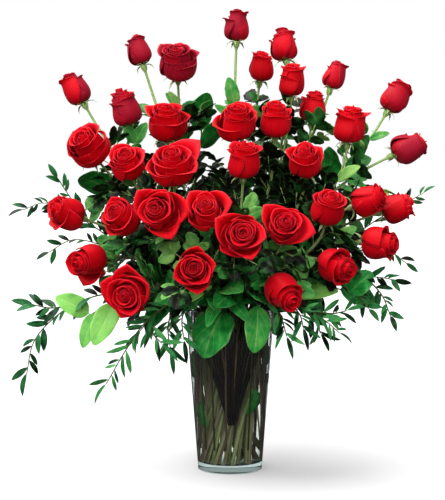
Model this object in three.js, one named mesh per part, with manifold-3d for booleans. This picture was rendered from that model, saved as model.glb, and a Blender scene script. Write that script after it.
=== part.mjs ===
// Three dozen red roses in a tall tapered glass vase, with salal and ruscus greens.
//
// Millimetres, +Z up. The origin is the centre of the vase's foot, +X runs to the right of the bouquet
// and the front looks towards -Y. The vase is thick pressed glass, filled with water to WATER_LEVEL.
// The rose stems stand in nine sheaves of four. The four stems of a sheaf cross at one point of a small
// circle in the water, and all sheaves lean round the axis the same way, as in a spiral bouquet, so that
// no sheaf cuts another. Salal and ruscus branches stand against the glass and hang over the rim.
import * as THREE from "three";
import { mergeVertices } from "three/addons/utils/BufferGeometryUtils.js";
import Module from "manifold-3d";

const wasm = await Module();
wasm.setup();

// ---------------------------------------------------------------- driving dimensions (mm, degrees)

const VASE = { height: 280, footRadius: 55.5, rimRadius: 77, wall: 3.4, floor: 14, sides: 28 };
const WATER_LEVEL = 250;
const GAP = 0.4; // between one piece and the next that it rests on or stands in

const STEM = { footHalf: 2.7, neckHalf: 2 }; // half widths of a stem
const CROSSING = { height: 125, radius: 26 }; // where the stems of a sheaf cross
const LEANS = [0.1, 0.18, 0.26, 0.34]; // mm sideways per mm of height, a sheaf's steepest stem first
const BEND = { steps: 3, pull: 0.35 }; // a bend's straight pieces, and its pull
const CALYX = { length: 17, hipRadius: 5.6, sepal: 0.34, droop: 9 }; // sepal: share of the bloom's width
const ROSE_LEAF = { length: 78, thickness: 1.5, rise: 48, tries: 9, nextTry: 80 }; // rise: leaf to stem
const LEAF_SPOTS = [[0.28, 0.62], [0.66], [0.6], [0.56]]; // shares of a bend, for each stem of a sheaf
const SALAL_LEAF = { thickness: 1.6, stalkHalf: 1.2 };
const RUSCUS_LEAF = { length: 38, thickness: 1.4, spread: 42, roll: 35 }; // spread: from its twig
const TWIG = { radius: 1.7, tipRadius: 0.9, sides: 3, foot: 40, fromGlass: 3.9 }; // foot: its cut end
const FACING = [0, -0.9, 0.45]; // the way that the leaves at the sides show their upper faces
const FORK_RADII = [1.5, 1.3, TWIG.tipRadius];
const SIDE_TWIG_RADII = [1.3, 1.1, TWIG.tipRadius];
const ROOM = 1; // what a leaf that is placed by a rule keeps clear of other pieces
const GOLDEN_ANGLE = 137.5; // from one repeat to the next, so that no two lie alike

// Each rose: the centre of its bloom, its width, how far it has opened (0 a bud, 1 full blown) and the way
// it faces. A sheaf lists its steepest stem first. exit is the way it leaves the vase, in degrees from +X.
const SHEAVES = [
  {
    exit: 22,
    roses: [
      { at: [188, 100, 691], across: 44, open: 0.1, face: [0.3, 0.1, 0.95] },
      { at: [148, 62, 631], across: 56, open: 0.4, face: [0.12, -0.1, 1] },
      { at: [299, 110, 652], across: 60, open: 0.35, face: [0.5, 0.15, 0.85] },
      { at: [319, 80, 559], across: 64, open: 0.4, face: [0.85, 0.05, 0.4] },
    ],
  },
  {
    exit: 58,
    roses: [
      { at: [13, 40, 771], across: 50, open: 0.25, face: [0.05, 0.05, 1] },
      { at: [55, 50, 701], across: 53, open: 0.4, face: [0.1, -0.25, 0.95] },
      { at: [98, 110, 744], across: 60, open: 0.45, face: [-0.12, 0.2, 1] },
      { at: [109, 40, 676], across: 55, open: 0.35, face: [0.05, -0.2, 0.97] },
    ],
  },
  {
    exit: 146,
    roses: [
      { at: [-90, -5, 702], across: 80, open: 0.7, face: [0, -0.55, 0.83] },
      { at: [-162, 80, 732], across: 48, open: 0.2, face: [-0.3, 0.1, 0.94] },
      { at: [-185, 50, 629], across: 62, open: 0.3, face: [-0.25, -0.15, 0.95] },
      { at: [-275, 80, 664], across: 57, open: 0.3, face: [-0.5, 0.1, 0.85] },
    ],
  },
  {
    exit: 180,
    roses: [
      { at: [-106, -40, 600], across: 82, open: 0.7, face: [0, -0.5, 0.86] },
      { at: [-240, -60, 557], across: 91, open: 0.85, face: [-0.4, -0.7, 0.58] },
      { at: [-278, -40, 446], across: 69, open: 0.5, face: [-0.75, -0.55, 0.3] },
      { at: [-236, -100, 367], across: 67, open: 0.45, face: [-0.6, -0.75, -0.1] },
    ],
  },
  {
    exit: 214,
    roses: [
      { at: [-94, -120, 525], across: 92, open: 0.85, face: [0, -0.7, 0.7] },
      { at: [-171, -100, 530], across: 66, open: 0.6, face: [-0.2, -0.7, 0.65] },
      { at: [-180, -120, 441], across: 72, open: 0.65, face: [-0.5, -0.75, 0.4] },
      { at: [-162, -160, 316], across: 85, open: 0.85, face: [-0.3, -0.93, -0.1] },
    ],
  },
  {
    exit: 248,
    roses: [
      { at: [-38, -190, 452], across: 69, open: 0.7, face: [0, -0.85, 0.5] },
      { at: [-116, -175, 450], across: 81, open: 0.85, face: [-0.1, -0.95, 0.25] },
      { at: [17, -240, 416], across: 82, open: 0.9, face: [0, -0.97, 0.25] },
      { at: [-58, -210, 361], across: 74, open: 0.8, face: [-0.05, -0.98, 0.1] },
    ],
  },
  {
    exit: 281,
    roses: [
      { at: [10, -60, 598], across: 82, open: 0.75, face: [0, -0.55, 0.83] },
      { at: [23, -110, 535], across: 63, open: 0.4, face: [0.05, -0.45, 0.9] },
      { at: [85, -190, 428], across: 76, open: 0.85, face: [0.05, -0.9, 0.4] },
      { at: [87, -180, 321], across: 70, open: 0.45, face: [0.45, -0.8, -0.4] },
    ],
  },
  {
    exit: 314,
    roses: [
      { at: [77, -30, 604], across: 68, open: 0.55, face: [0, -0.35, 0.93] },
      { at: [124, -90, 533], across: 67, open: 0.6, face: [-0.05, -0.7, 0.7] },
      { at: [160, -130, 457], across: 66, open: 0.5, face: [0.1, -0.6, 0.75] },
      { at: [174, -140, 360], across: 65, open: 0.4, face: [0.6, -0.75, -0.2] },
    ],
  },
  {
    exit: 348,
    roses: [
      { at: [205, -10, 596], across: 69, open: 0.5, face: [0.1, -0.15, 1] },
      { at: [288, -10, 455], across: 60, open: 0.45, face: [0.9, -0.1, 0.3] },
      { at: [233, -70, 468], across: 62, open: 0.4, face: [0.8, -0.4, 0.35] },
      { at: [250, -80, 395], across: 69, open: 0.55, face: [0.85, -0.45, -0.05] },
    ],
  },
];

// Each salal branch: the way it leaves the vase, the points its stem runs through beyond the rim,
// and its leaves as [where on that run they grow, the leaf's tip, its width]. A fork is a second stem. faces
// is the way that a branch's leaves face, where that isn't outwards and up.
const SALAL = {
  salal_front: {
    exit: 263,
    run: [[-8, -92, 300], [-20, -112, 322], [-30, -135, 335]],
    leaves: [
      [0.08, [-44, -98, 205], 74],
      [0.5, [-38, -150, 262], 24],
      [0.62, [30, -150, 270], 27],
      [0.95, [-72, -165, 300], 26],
    ],
    fork: {
      from: 0.2,
      run: [[22, -104, 308], [48, -108, 296]],
      leaves: [[0.95, [39, -118, 216], 45]],
    },
  },
  salal_left: {
    exit: 205,
    faces: FACING,
    run: [[-88, -50, 300], [-150, -66, 306], [-205, -76, 292], [-238, -80, 274]],
    leaves: [
      [0.3, [-140, -104, 250], 34],
      [0.4, [-128, -88, 372], 34],
      [0.62, [-222, -46, 334], 38],
      [0.74, [-226, -112, 228], 42],
      [0.93, [-246, -98, 222], 28],
      [0.98, [-292, -86, 306], 38],
    ],
  },
  salal_right: {
    exit: 337,
    faces: FACING,
    run: [[90, -52, 302], [125, -78, 322], [170, -66, 322], [205, -58, 308]],
    leaves: [
      [0.3, [178, -118, 318], 36],
      [0.5, [150, -112, 262], 30],
      [0.66, [166, -20, 372], 32],
      [0.85, [250, -36, 290], 40],
      [0.97, [240, -66, 346], 42],
    ],
  },
  salal_back_left: {
    exit: 112,
    run: [[-38, 92, 305], [-58, 128, 390], [-62, 138, 490], [-50, 112, 595]],
    leaves: [
      [0.05, [-22, 150, 222], 54],
      [0.3, [20, 165, 395], 46],
      [0.46, [-112, 190, 440], 48],
      [0.6, [12, 180, 512], 46],
      [0.74, [-130, 150, 575], 46],
      [0.88, [20, 140, 622], 42],
      [0.97, [-42, 55, 655], 46],
    ],
    fork: {
      from: 0.26,
      run: [[-135, 125, 405], [-200, 70, 480]],
      leaves: [
        [0.4, [-175, 190, 352], 48],
        [0.7, [-238, 130, 430], 44],
        [0.97, [-262, 8, 505], 46],
      ],
    },
  },
  salal_back_right: {
    exit: 52,
    run: [[56, 88, 302], [96, 128, 366], [136, 122, 440], [168, 66, 505]],
    leaves: [
      [0.06, [84, 122, 218], 52],
      [0.3, [48, 190, 385], 46],
      [0.45, [185, 175, 352], 48],
      [0.62, [92, 178, 500], 46],
      [0.8, [228, 120, 462], 44],
      [0.97, [176, 2, 556], 46],
    ],
  },
};

// Each ruscus spray: the way it leaves the vase, its stem's run beyond the rim, how many leaves it carries
// and the share of the run from which they grow, and side twigs as [where on the run they grow, end point].
const RUSCUS = {
  ruscus_left_up: {
    exit: 184,
    run: [[-100, -2, 330], [-190, 12, 388], [-270, 22, 440], [-325, 5, 462], [-356, -10, 450]],
    leaves: 12,
    from: 0.42,
    twigs: [[0.62, [-300, 20, 505]]],
  },
  ruscus_left_low: {
    exit: 220,
    run: [
      [-80, -65, 303], [-150, -82, 312], [-230, -78, 306],
      [-290, -75, 275], [-330, -78, 230], [-342, -80, 176],
    ],
    leaves: 12,
    from: 0.3,
    twigs: [[0.62, [-330, -75, 292]]],
  },
  ruscus_front_left: {
    exit: 240,
    run: [[-52, -92, 300], [-98, -125, 298], [-140, -138, 268], [-172, -134, 222], [-205, -122, 165]],
    leaves: 12,
    from: 0.22,
    twigs: [[0.5, [-112, -150, 236]]],
  },
  ruscus_front_right: {
    exit: 305,
    run: [[58, -90, 300], [95, -128, 300], [128, -146, 290], [155, -146, 272], [178, -138, 252]],
    leaves: 11,
    from: 0.2,
    twigs: [[0.5, [118, -155, 262]]],
  },
  ruscus_right_low: {
    exit: 350,
    run: [[95, -22, 303], [160, -32, 326], [215, -50, 336], [250, -66, 338], [276, -76, 334]],
    leaves: 12,
    from: 0.4,
    twigs: [[0.78, [266, -100, 276]]],
  },
  ruscus_right_up: {
    exit: 4,
    run: [[110, 12, 332], [200, 30, 392], [272, 45, 440], [310, 38, 462], [340, 30, 480]],
    leaves: 11,
    from: 0.45,
    twigs: [],
  },
  ruscus_back_left: {
    exit: 150,
    run: [[-88, 62, 306], [-155, 105, 345], [-225, 130, 380], [-290, 135, 392], [-330, 130, 370]],
    leaves: 9,
    from: 0.3,
    twigs: [],
  },
  ruscus_back_right: {
    exit: 28,
    run: [[92, 55, 306], [160, 100, 345], [228, 125, 372], [285, 130, 376], [322, 125, 350]],
    leaves: 9,
    from: 0.3,
    twigs: [],
  },
};

const matt = (color, roughness) => new THREE.MeshStandardMaterial({ color, roughness, metalness: 0 });
const clear = (color, roughness, opacity) =>
  new THREE.MeshStandardMaterial({ color, roughness, metalness: 0, transparent: true, opacity });

const MATERIAL = {
  glass: clear(0xdfeeee, 0.04, 0.35),
  water: clear(0xe6f2ee, 0.05, 0.3),
  petal: matt(0xc00a16, 0.55),
  roseGreen: matt(0x2f6b2a, 0.5),
  salal: matt(0x3f8f36, 0.4),
  ruscus: matt(0x234f2c, 0.45),
};

// ---------------------------------------------------------------- closed solids

const TAU = 2 * Math.PI;
const UP = new THREE.Vector3(0, 0, 1);
const radians = THREE.MathUtils.degToRad;
const vector = ([x, y, z]) => new THREE.Vector3(x, y, z);
const wrap = (k, n) => ((k % n) + n) % n;

// A manifold solid from points and outward triangles.
function solidOf(points, faces) {
  const geometry = new THREE.BufferGeometry().setFromPoints(points);
  geometry.setIndex(faces);
  return solidFrom(geometry);
}

function solidFrom(geometry) {
  geometry.deleteAttribute("normal");
  geometry.deleteAttribute("uv");
  const merged = mergeVertices(geometry, 1e-4);
  return new wasm.Manifold(
    new wasm.Mesh({
      numProp: 3,
      vertProperties: merged.attributes.position.array,
      triVerts: new Uint32Array(merged.index.array),
    }),
  );
}

// Joins solids into one body, and drops any loose scrap.
function fuse(solids) {
  const joined = solids.reduce((whole, piece) => whole.add(piece));
  return joined.decompose().sort((a, b) => b.volume() - a.volume())[0];
}

function geometryOf(solid) {
  const made = solid.getMesh();
  const points = new Float32Array(made.numVert * 3);
  for (let i = 0; i < made.numVert; i++) {
    points.set(made.vertProperties.subarray(i * made.numProp, i * made.numProp + 3), i * 3);
  }
  const geometry = new THREE.BufferGeometry();
  geometry.setAttribute("position", new THREE.BufferAttribute(points, 3));
  geometry.setIndex(new THREE.BufferAttribute(made.triVerts, 1));
  return geometry;
}

const turned = (solid, angle) => solidFrom(geometryOf(solid).rotateZ(angle));

function meshOf(name, solid, material) {
  const geometry = geometryOf(solid);
  geometry.computeVertexNormals();
  const mesh = new THREE.Mesh(geometry, material);
  mesh.name = name;
  return mesh;
}

// A frame at a point: x and y across, along pointing on, turned as little as can be from the one before.
function frameAt(at, along, before) {
  const across = Math.abs(along.x) < 0.9 ? [1, 0, 0] : [0, 1, 0];
  const hint = before?.x ?? vector(across);
  const x = hint.clone().addScaledVector(along, -hint.dot(along)).normalize();
  return { at, along, x, y: along.clone().cross(x) };
}

// A ring of n points round a frame. shape(angle, k) gives a point's distance out and its rise along.
function ring(frame, n, shape, turn = 0) {
  const points = Array.from({ length: n }, (_, k) => {
    const angle = turn + (TAU * k) / n;
    const [out, rise] = shape(angle, k);
    return frame.at
      .clone()
      .addScaledVector(frame.x, out * Math.cos(angle))
      .addScaledVector(frame.y, out * Math.sin(angle))
      .addScaledVector(frame.along, rise);
  });
  return { points, turn };
}

// A path of straight pieces through points of a curve. What grows from a stem is rooted on this path.
function chain(points) {
  const path = new THREE.CurvePath();
  points.slice(1).forEach((point, i) => path.add(new THREE.LineCurve3(points[i], point)));
  return { points, at: (share) => path.getPoint(share), along: (share) => path.getTangent(share) };
}

const pole = (frame, rise) => ring(frame, 1, () => [0, rise]);
const endOf = (centre) => ({ points: [centre], turn: 0 });

// A closed surface stretched from ring to ring. Neighbouring rings may hold different numbers of points.
function skin(rings) {
  const points = [];
  const faces = [];
  const starts = rings.map((r) => points.push(...r.points) - r.points.length);
  rings.slice(1).forEach((upper, i) => {
    const lower = rings[i];
    const [n, m] = [lower.points.length, upper.points.length];
    const low = (k) => starts[i] + wrap(k, n);
    const high = (k) => starts[i + 1] + wrap(k, m);
    if (n === 1) {
      for (let k = 0; k < m; k++) faces.push(low(0), high(k + 1), high(k));
    } else if (m === 1) {
      for (let k = 0; k < n; k++) faces.push(low(k), low(k + 1), high(0));
    } else {
      const first = Math.round(((lower.turn - upper.turn) * m) / TAU);
      let [j, k] = [0, 0];
      while (j < n || k < m) {
        const nextLow = lower.turn + (TAU * (j + 1)) / n;
        const nextHigh = upper.turn + (TAU * (first + k + 1)) / m;
        if (k === m || (j < n && nextLow <= nextHigh)) {
          faces.push(low(j), low(j + 1), high(first + k));
          j += 1;
        } else {
          faces.push(low(j), high(first + k + 1), high(first + k));
          k += 1;
        }
      }
    }
  });
  return solidOf(points, faces);
}

// A round rod through points, with a radius at each.
function rod(path, radii, sides) {
  let frame;
  const rings = path.map((at, i) => {
    const along = path[Math.min(i + 1, path.length - 1)].clone().sub(path[Math.max(i - 1, 0)]).normalize();
    frame = frameAt(at, along, frame);
    return ring(frame, sides, () => [radii[i], 0]);
  });
  const first = frameAt(path[0], path[1].clone().sub(path[0]).normalize());
  return skin([pole(first, 0), ...rings, pole(frame, 0)]);
}

// A thin leaf from root to tip, thickest along its rib and sharp at its edge, which rises on the two
// sides in turn. Each row gives [share of the length, half width, how far the edge is swept on, how far
// it is lifted]. arch bows the rib up, and fat grows the blade for a test of the room that it needs.
function blade({ root, tip, up, rows, thickness, arch, fat = 0 }) {
  const thick = thickness / 2 + fat;
  const along = tip.clone().sub(root).normalize();
  const right = along.clone().cross(up).normalize();
  const normal = right.clone().cross(along);
  const bow = (share) => arch * 4 * share * (1 - share);
  const rib = (share) => root.clone().lerp(tip, share).addScaledVector(normal, bow(share));
  const points = [root.clone(), tip.clone().addScaledVector(along, fat)];
  const faces = [];
  const columns = rows.map(([share, half, sweep, lift], i) => {
    const mid = rib(share);
    const higherSide = i % 2 ? 1 : -1;
    const edge = (side) =>
      mid
        .clone()
        .addScaledVector(right, side * (half + fat))
        .addScaledVector(along, sweep)
        .addScaledVector(normal, lift * (1 + 0.5 * side * higherSide));
    const top = mid.clone().addScaledVector(normal, thick);
    const underside = mid.clone().addScaledVector(normal, -thick);
    return points.push(edge(-1), top, edge(1), underside) - 4;
  });
  // Each row holds the left edge, the rib's top, the right edge and the rib's underside, in that order.
  // Both faces of a half are split along the same diagonal, from the edge on to the rib.
  const last = columns[columns.length - 1];
  for (let side = 0; side < 4; side++) {
    const next = (side + 1) % 4;
    faces.push(0, columns[0] + next, columns[0] + side);
    columns.slice(1).forEach((b, i) => {
      const a = columns[i];
      if (side % 2) faces.push(a + side, a + next, b + side, a + next, b + next, b + side);
      else faces.push(a + side, a + next, b + next, a + side, b + next, b + side);
    });
    faces.push(last + side, last + next, 1);
  }
  return solidOf(points, faces);
}

// ---------------------------------------------------------------- vase and water

const innerRadius = (z) => {
  const share = (z - VASE.floor) / (VASE.height - VASE.floor);
  return THREE.MathUtils.lerp(VASE.footRadius - VASE.wall, VASE.rimRadius - VASE.wall, share);
};

function lathe(profile) {
  const points = profile.map(([r, z]) => new THREE.Vector2(r, z));
  // LatheGeometry turns about +Y, so the shape is stood up along +Z.
  return solidFrom(new THREE.LatheGeometry(points, VASE.sides).rotateX(Math.PI / 2));
}

function makeVase() {
  const { height, footRadius, rimRadius, wall, floor } = VASE;
  const edge = 2; // rounding of the foot
  const lip = 1.2; // rounding of the rim
  return lathe([
    [0, 0],
    [footRadius - edge, 0],
    [footRadius, edge],
    [rimRadius, height - lip],
    [rimRadius - lip, height],
    [rimRadius - wall + lip, height],
    [innerRadius(height - lip), height - lip],
    [innerRadius(floor), floor],
    [0, floor],
  ]);
}

function makeWater(holes) {
  const bottom = VASE.floor + GAP;
  const body = lathe([
    [0, bottom],
    [innerRadius(bottom) - GAP, bottom],
    [innerRadius(WATER_LEVEL) - GAP, WATER_LEVEL],
    [0, WATER_LEVEL],
  ]);
  return fuse([holes.reduce((left, hole) => left.subtract(hole), body)]);
}

// ---------------------------------------------------------------- rose blooms

const bloomHeight = ({ across, open }) => across * (1.25 - 0.75 * open);

// The seat of a bloom on its stem, and the frame that the bloom is built in.
function bloomFrame(rose) {
  const along = vector(rose.face).normalize();
  const at = vector(rose.at).addScaledVector(along, -bloomHeight(rose) / 2);
  return frameAt(at, along);
}

// A bloom is one closed surface that rises and falls through three whorls of petals: five guard petals,
// five inside them and three round the heart. Each whorl's rim waves out at its petals' tips. A rose that
// is further open has wider, lower outer rims.
function makeBloom(rose, index) {
  const frame = bloomFrame(rose);
  const r = rose.across / 2;
  const h = bloomHeight(rose);
  const mix = (bud, blown) => THREE.MathUtils.lerp(bud, blown, rose.open);
  const spin = radians(GOLDEN_ANGLE * index);
  const whorl = (n, out, rise, petals, tip, tipRise, turn) => {
    const start = spin + radians(turn);
    const wave = (angle) => Math.cos(petals * (angle - start));
    const shape = (angle) => [r * out * (1 + tip * wave(angle)), h * (rise + tipRise * wave(angle))];
    return ring(frame, n, shape, start);
  };
  const seatRadius = 4.2;
  return skin([
    pole(frame, 0),
    ring(frame, 6, () => [seatRadius, 0], spin),
    whorl(10, mix(0.62, 0.42), mix(0.12, 0.16), 5, 0, 0, 0),
    whorl(10, mix(0.97, 0.74), mix(0.42, 0.42), 5, 0.02, 0, 0),
    whorl(15, mix(0.78, 0.93), mix(0.84, 0.62), 5, 0.08, mix(0.04, -0.05), 0),
    whorl(10, mix(0.6, 0.67), mix(0.72, 0.54), 5, 0.05, 0, 0),
    whorl(10, mix(0.54, 0.66), mix(0.94, 0.84), 5, 0.08, 0.03, 36),
    whorl(6, mix(0.36, 0.46), mix(0.82, 0.66), 3, 0, 0, 20),
    whorl(9, mix(0.3, 0.4), mix(1.0, 0.96), 3, 0.1, 0.03, 20),
    pole(frame, h * mix(0.9, 0.82)),
  ]);
}

// ---------------------------------------------------------------- rose stems

// A sheaf is worked out in a frame of its own, with the crossing of its stems on +X and the way it leans
// along +Y, and is then turned about the vase's axis to its place.
const sheafTurn = ({ exit }) => {
  const swing = Math.atan((LEANS[2] * (VASE.height - CROSSING.height)) / CROSSING.radius);
  return radians(exit) - swing;
};

function inSheafFrame(rose, turn) {
  const turned = (triple) => vector(triple).applyAxisAngle(UP, -turn).toArray();
  return { ...rose, at: turned(rose.at), face: turned(rose.face) };
}

// A stem stands on the vase's floor, runs straight through the crossing to the rim, then bends to its bloom.
function stemPath(rose, lean) {
  const upward = new THREE.Vector3(0, lean, 1);
  const at = (z) => new THREE.Vector3(CROSSING.radius, lean * (z - CROSSING.height), z);
  const mouth = at(VASE.height);
  const frame = bloomFrame(rose);
  const neck = frame.at.clone().addScaledVector(frame.along, -CALYX.length);
  const reach = mouth.distanceTo(neck) * BEND.pull;
  const curve = new THREE.CubicBezierCurve3(
    mouth,
    mouth.clone().addScaledVector(upward.normalize(), reach),
    neck.clone().addScaledVector(frame.along, -reach),
    neck,
  );
  return { at, curve, bend: chain(curve.getPoints(BEND.steps)) };
}

// A level square section of the straight stretch.
function section(centre, half) {
  const corners = [[1, 1], [-1, 1], [-1, -1], [1, -1]];
  const corner = ([a, b]) => new THREE.Vector3(centre.x + a * half, centre.y + b * half, centre.z);
  const points = corners.map(corner);
  return { points, turn: Math.PI / 4 };
}

// One stem with its hip and five sepals, closed just under the bloom that sits on it.
function makeStem({ at, curve, bend }, rose, index) {
  const { length, hipRadius, sepal, droop } = CALYX;
  const floor = at(VASE.floor + GAP);
  let frame = { x: new THREE.Vector3(1, 0, 0) };
  const bent = bend.points.slice(1).map((point, i) => {
    const share = (i + 1) / BEND.steps;
    frame = frameAt(point, curve.getTangent(share), frame);
    const half = THREE.MathUtils.lerp(STEM.footHalf, STEM.neckHalf, share);
    return ring(frame, 4, () => [half * Math.SQRT2, 0], Math.PI / 4);
  });
  const reach = rose.across * sepal;
  const spin = radians(GOLDEN_ANGLE * index) % (TAU / 5);
  const star = (_, k) => (k % 2 ? [hipRadius * 1.1, length * 0.82] : [reach, length * 0.82 - droop]);
  return skin([
    endOf(floor),
    section(floor, STEM.footHalf),
    section(at(VASE.height), STEM.footHalf),
    ...bent,
    ring(frame, 5, () => [hipRadius, length * 0.55], spin),
    ring(frame, 10, star, spin),
    pole(frame, length - GAP),
  ]);
}

// What a stem takes out of the water.
function stemHole({ at }) {
  const [low, high] = [VASE.floor - 1, WATER_LEVEL + 5].map(at);
  const half = STEM.footHalf + GAP;
  return skin([endOf(low), section(low, half), section(high, half), endOf(high)]);
}

// A compound rose leaf: a stalk, a pair of leaflets cut to the rib, and an end leaflet.
function roseLeaf({ root, direction, up, fat = 0 }) {
  const { length, thickness } = ROSE_LEAF;
  const rows = [
    [0.28, 0.014, 0, 0],
    [0.42, 0.25, 0.1, 0.03],
    [0.55, 0.014, 0, 0],
    [0.76, 0.18, 0, 0.03],
  ].map(([share, ...sizes]) => [share, ...sizes.map((s) => s * length)]);
  const tip = root.clone().addScaledVector(direction, length);
  return blade({ root, tip, up, rows, thickness, arch: length * 0.07, fat });
}

function leafOn(bend, share, turn) {
  const root = bend.at(share);
  const frame = frameAt(root, bend.along(share));
  const across = frame.x.clone().multiplyScalar(Math.cos(turn)).addScaledVector(frame.y, Math.sin(turn));
  const rise = radians(ROSE_LEAF.rise);
  const direction = across.multiplyScalar(Math.sin(rise)).addScaledVector(frame.along, Math.cos(rise));
  const up = frame.along.clone().addScaledVector(direction, -frame.along.dot(direction)).normalize();
  return { root, direction, up };
}

// ---------------------------------------------------------------- greens

// The lower end of a green's stem stands against the glass, and runs up it to the rim.
function greenPath({ exit, run }, steps) {
  const turn = radians(exit);
  const at = (radius, z) => new THREE.Vector3(radius * Math.cos(turn), radius * Math.sin(turn), z);
  const foot = at(innerRadius(TWIG.foot) - TWIG.fromGlass, TWIG.foot);
  const mouth = at(innerRadius(VASE.height) - 1.5 * TWIG.fromGlass, VASE.height + 2);
  const curve = new THREE.CatmullRomCurve3([mouth, ...run.map(vector)], false, "centripetal");
  return { foot, mouth, bend: chain(curve.getPoints(steps)) };
}

function greenStem({ foot, bend }) {
  const path = [foot, ...bend.points];
  const radii = path.map((_, i) => THREE.MathUtils.lerp(TWIG.radius, TWIG.tipRadius, i / (path.length - 1)));
  return rod(path, radii, TWIG.sides);
}

// A broad oval salal leaf with a waved edge.
function salalLeaf(root, tip, width, faces) {
  const { thickness, stalkHalf } = SALAL_LEAF;
  const along = tip.clone().sub(root).normalize();
  const outward = root.clone().add(tip).setZ(0).normalize();
  const outwardAndUp = outward.multiplyScalar(0.8).addScaledVector(UP, 0.7);
  const faced = (faces ? vector(faces) : outwardAndUp).normalize();
  const up = Math.abs(along.dot(faced)) > 0.93 ? UP : faced;
  const half = width / 2;
  const rows = [
    [0.14, stalkHalf, 0, 0],
    [0.34, half * 0.86, 0, half * 0.16],
    [0.58, half, 0, half * 0.12],
    [0.84, half * 0.6, 0, half * 0.1],
  ];
  return blade({ root, tip, up, rows, thickness, arch: root.distanceTo(tip) * 0.08 });
}

// A narrow ruscus leaf, pointed at both ends.
function ruscusLeaf({ root, direction, up, length, fat = 0 }) {
  const rows = [[0.45, length * 0.14, 0, length * 0.02]];
  const tip = root.clone().addScaledVector(direction, length);
  return blade({ root, tip, up, rows, thickness: RUSCUS_LEAF.thickness, arch: length * 0.1, fat });
}

// Leaves stand on both sides of a twig in turn, and one ends it.
function ruscusLeaves(path, count, from) {
  const leaves = [];
  for (let i = 0; i < count; i++) {
    const last = i === count - 1;
    const share = last ? 0.995 : from + ((1 - from) * i) / (count - 1);
    const root = path.at(share);
    const along = path.along(share);
    const side = i % 2 ? 1 : -1;
    const roll = radians(RUSCUS_LEAF.roll * Math.sin(2.4 * i));
    const across = along.clone().cross(vector(FACING)).normalize().applyAxisAngle(along, roll);
    across.multiplyScalar(side);
    const spread = last ? 0 : radians(RUSCUS_LEAF.spread);
    const direction = along.clone().multiplyScalar(Math.cos(spread));
    direction.addScaledVector(across, Math.sin(spread));
    const up = across.clone().cross(along).multiplyScalar(side);
    const length = RUSCUS_LEAF.length * (0.8 + 0.2 * Math.cos(1.7 * i));
    leaves.push({ root, direction, up, length });
  }
  return leaves;
}

// ---------------------------------------------------------------- assembly

const placed = []; // every solid so far, with the node that it belongs to
const boxesMeet = (a, b) => [0, 1, 2].every((k) => a.min[k] <= b.max[k] && b.min[k] <= a.max[k]);

function place(owner, solid) {
  placed.push({ owner, solid, box: solid.boundingBox() });
  return solid;
}

function isClear(owner, solid) {
  const box = solid.boundingBox();
  return placed.every(
    (other) => other.owner === owner || !boxesMeet(box, other.box) || solid.intersect(other.solid).isEmpty(),
  );
}

const bouquet = new THREE.Group();
const pieces = new Map(); // node name to the solids that are fused in it
const holes = []; // what the water is pierced by
const number = (n) => String(n).padStart(2, "0");

const vase = place("vase", makeVase());

const sheaves = SHEAVES.map((sheaf, s) => {
  const turn = sheafTurn(sheaf);
  const stems = sheaf.roses.map((rose, i) => {
    const index = s * sheaf.roses.length + i;
    const bloom = place(`rose_bloom_${number(index + 1)}`, makeBloom(rose, index));
    bouquet.add(meshOf(`rose_bloom_${number(index + 1)}`, bloom, MATERIAL.petal));
    const path = stemPath(inSheafFrame(rose, turn), LEANS[i]);
    return { index, path, solid: makeStem(path, rose, index) };
  });
  const name = `rose_stems_${s + 1}`;
  pieces.set(name, [place(name, turned(fuse(stems.map(({ solid }) => solid)), turn))]);
  holes.push(turned(fuse(stems.map(({ path }) => stemHole(path))), turn));
  return { name, turn, stems };
});

function growGreen(name, green, steps) {
  const path = greenPath(green, steps);
  pieces.set(name, [place(name, greenStem(path))]);
  const width = TWIG.radius + 2 * GAP;
  const surface = (WATER_LEVEL + 2 * width - path.foot.z) / (path.mouth.z - path.foot.z);
  const ends = [-0.01, surface].map((share) => path.foot.clone().lerp(path.mouth, share));
  holes.push(rod(ends, [width, width], TWIG.sides));
  return path.bend;
}

const greens = [
  ...Object.entries(SALAL).map(([name, green]) => ({ name, green, bend: growGreen(name, green, 6) })),
  ...Object.entries(RUSCUS).map(([name, green]) => ({ name, green, bend: growGreen(name, green, 5) })),
];

// Salal leaves stand where the list says.
function growSalalLeaves(name, bend, leaves, faces) {
  for (const [share, tip, width] of leaves) {
    pieces.get(name).push(place(name, salalLeaf(bend.at(share), vector(tip), width, faces)));
  }
}

for (const { name, green, bend } of greens.filter(({ name }) => name in SALAL)) {
  growSalalLeaves(name, bend, green.leaves, green.faces);
  if (green.fork) {
    const fork = chain([bend.at(green.fork.from), ...green.fork.run.map(vector)]);
    pieces.get(name).push(place(name, rod(fork.points, FORK_RADII, TWIG.sides)));
    growSalalLeaves(name, fork, green.fork.leaves);
  }
}

// Ruscus leaves follow their twigs, and one without room is left out.
function growRuscusLeaves(name, twig, count, from) {
  for (const leaf of ruscusLeaves(twig, count, from)) {
    const hasRoom = isClear(name, ruscusLeaf({ ...leaf, fat: ROOM }));
    if (hasRoom) pieces.get(name).push(place(name, ruscusLeaf(leaf)));
  }
}

for (const { name, green, bend } of greens.filter(({ name }) => name in RUSCUS)) {
  growRuscusLeaves(name, bend, green.leaves, green.from);
  for (const [share, end] of green.twigs) {
    const start = bend.at(share);
    const middle = start.clone().lerp(vector(end), 0.5).addScaledVector(bend.along(share), 8);
    const twig = chain([start, middle, vector(end)]);
    pieces.get(name).push(place(name, rod(twig.points, SIDE_TWIG_RADII, TWIG.sides)));
    growRuscusLeaves(name, twig, 5, 0.3);
  }
}

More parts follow.
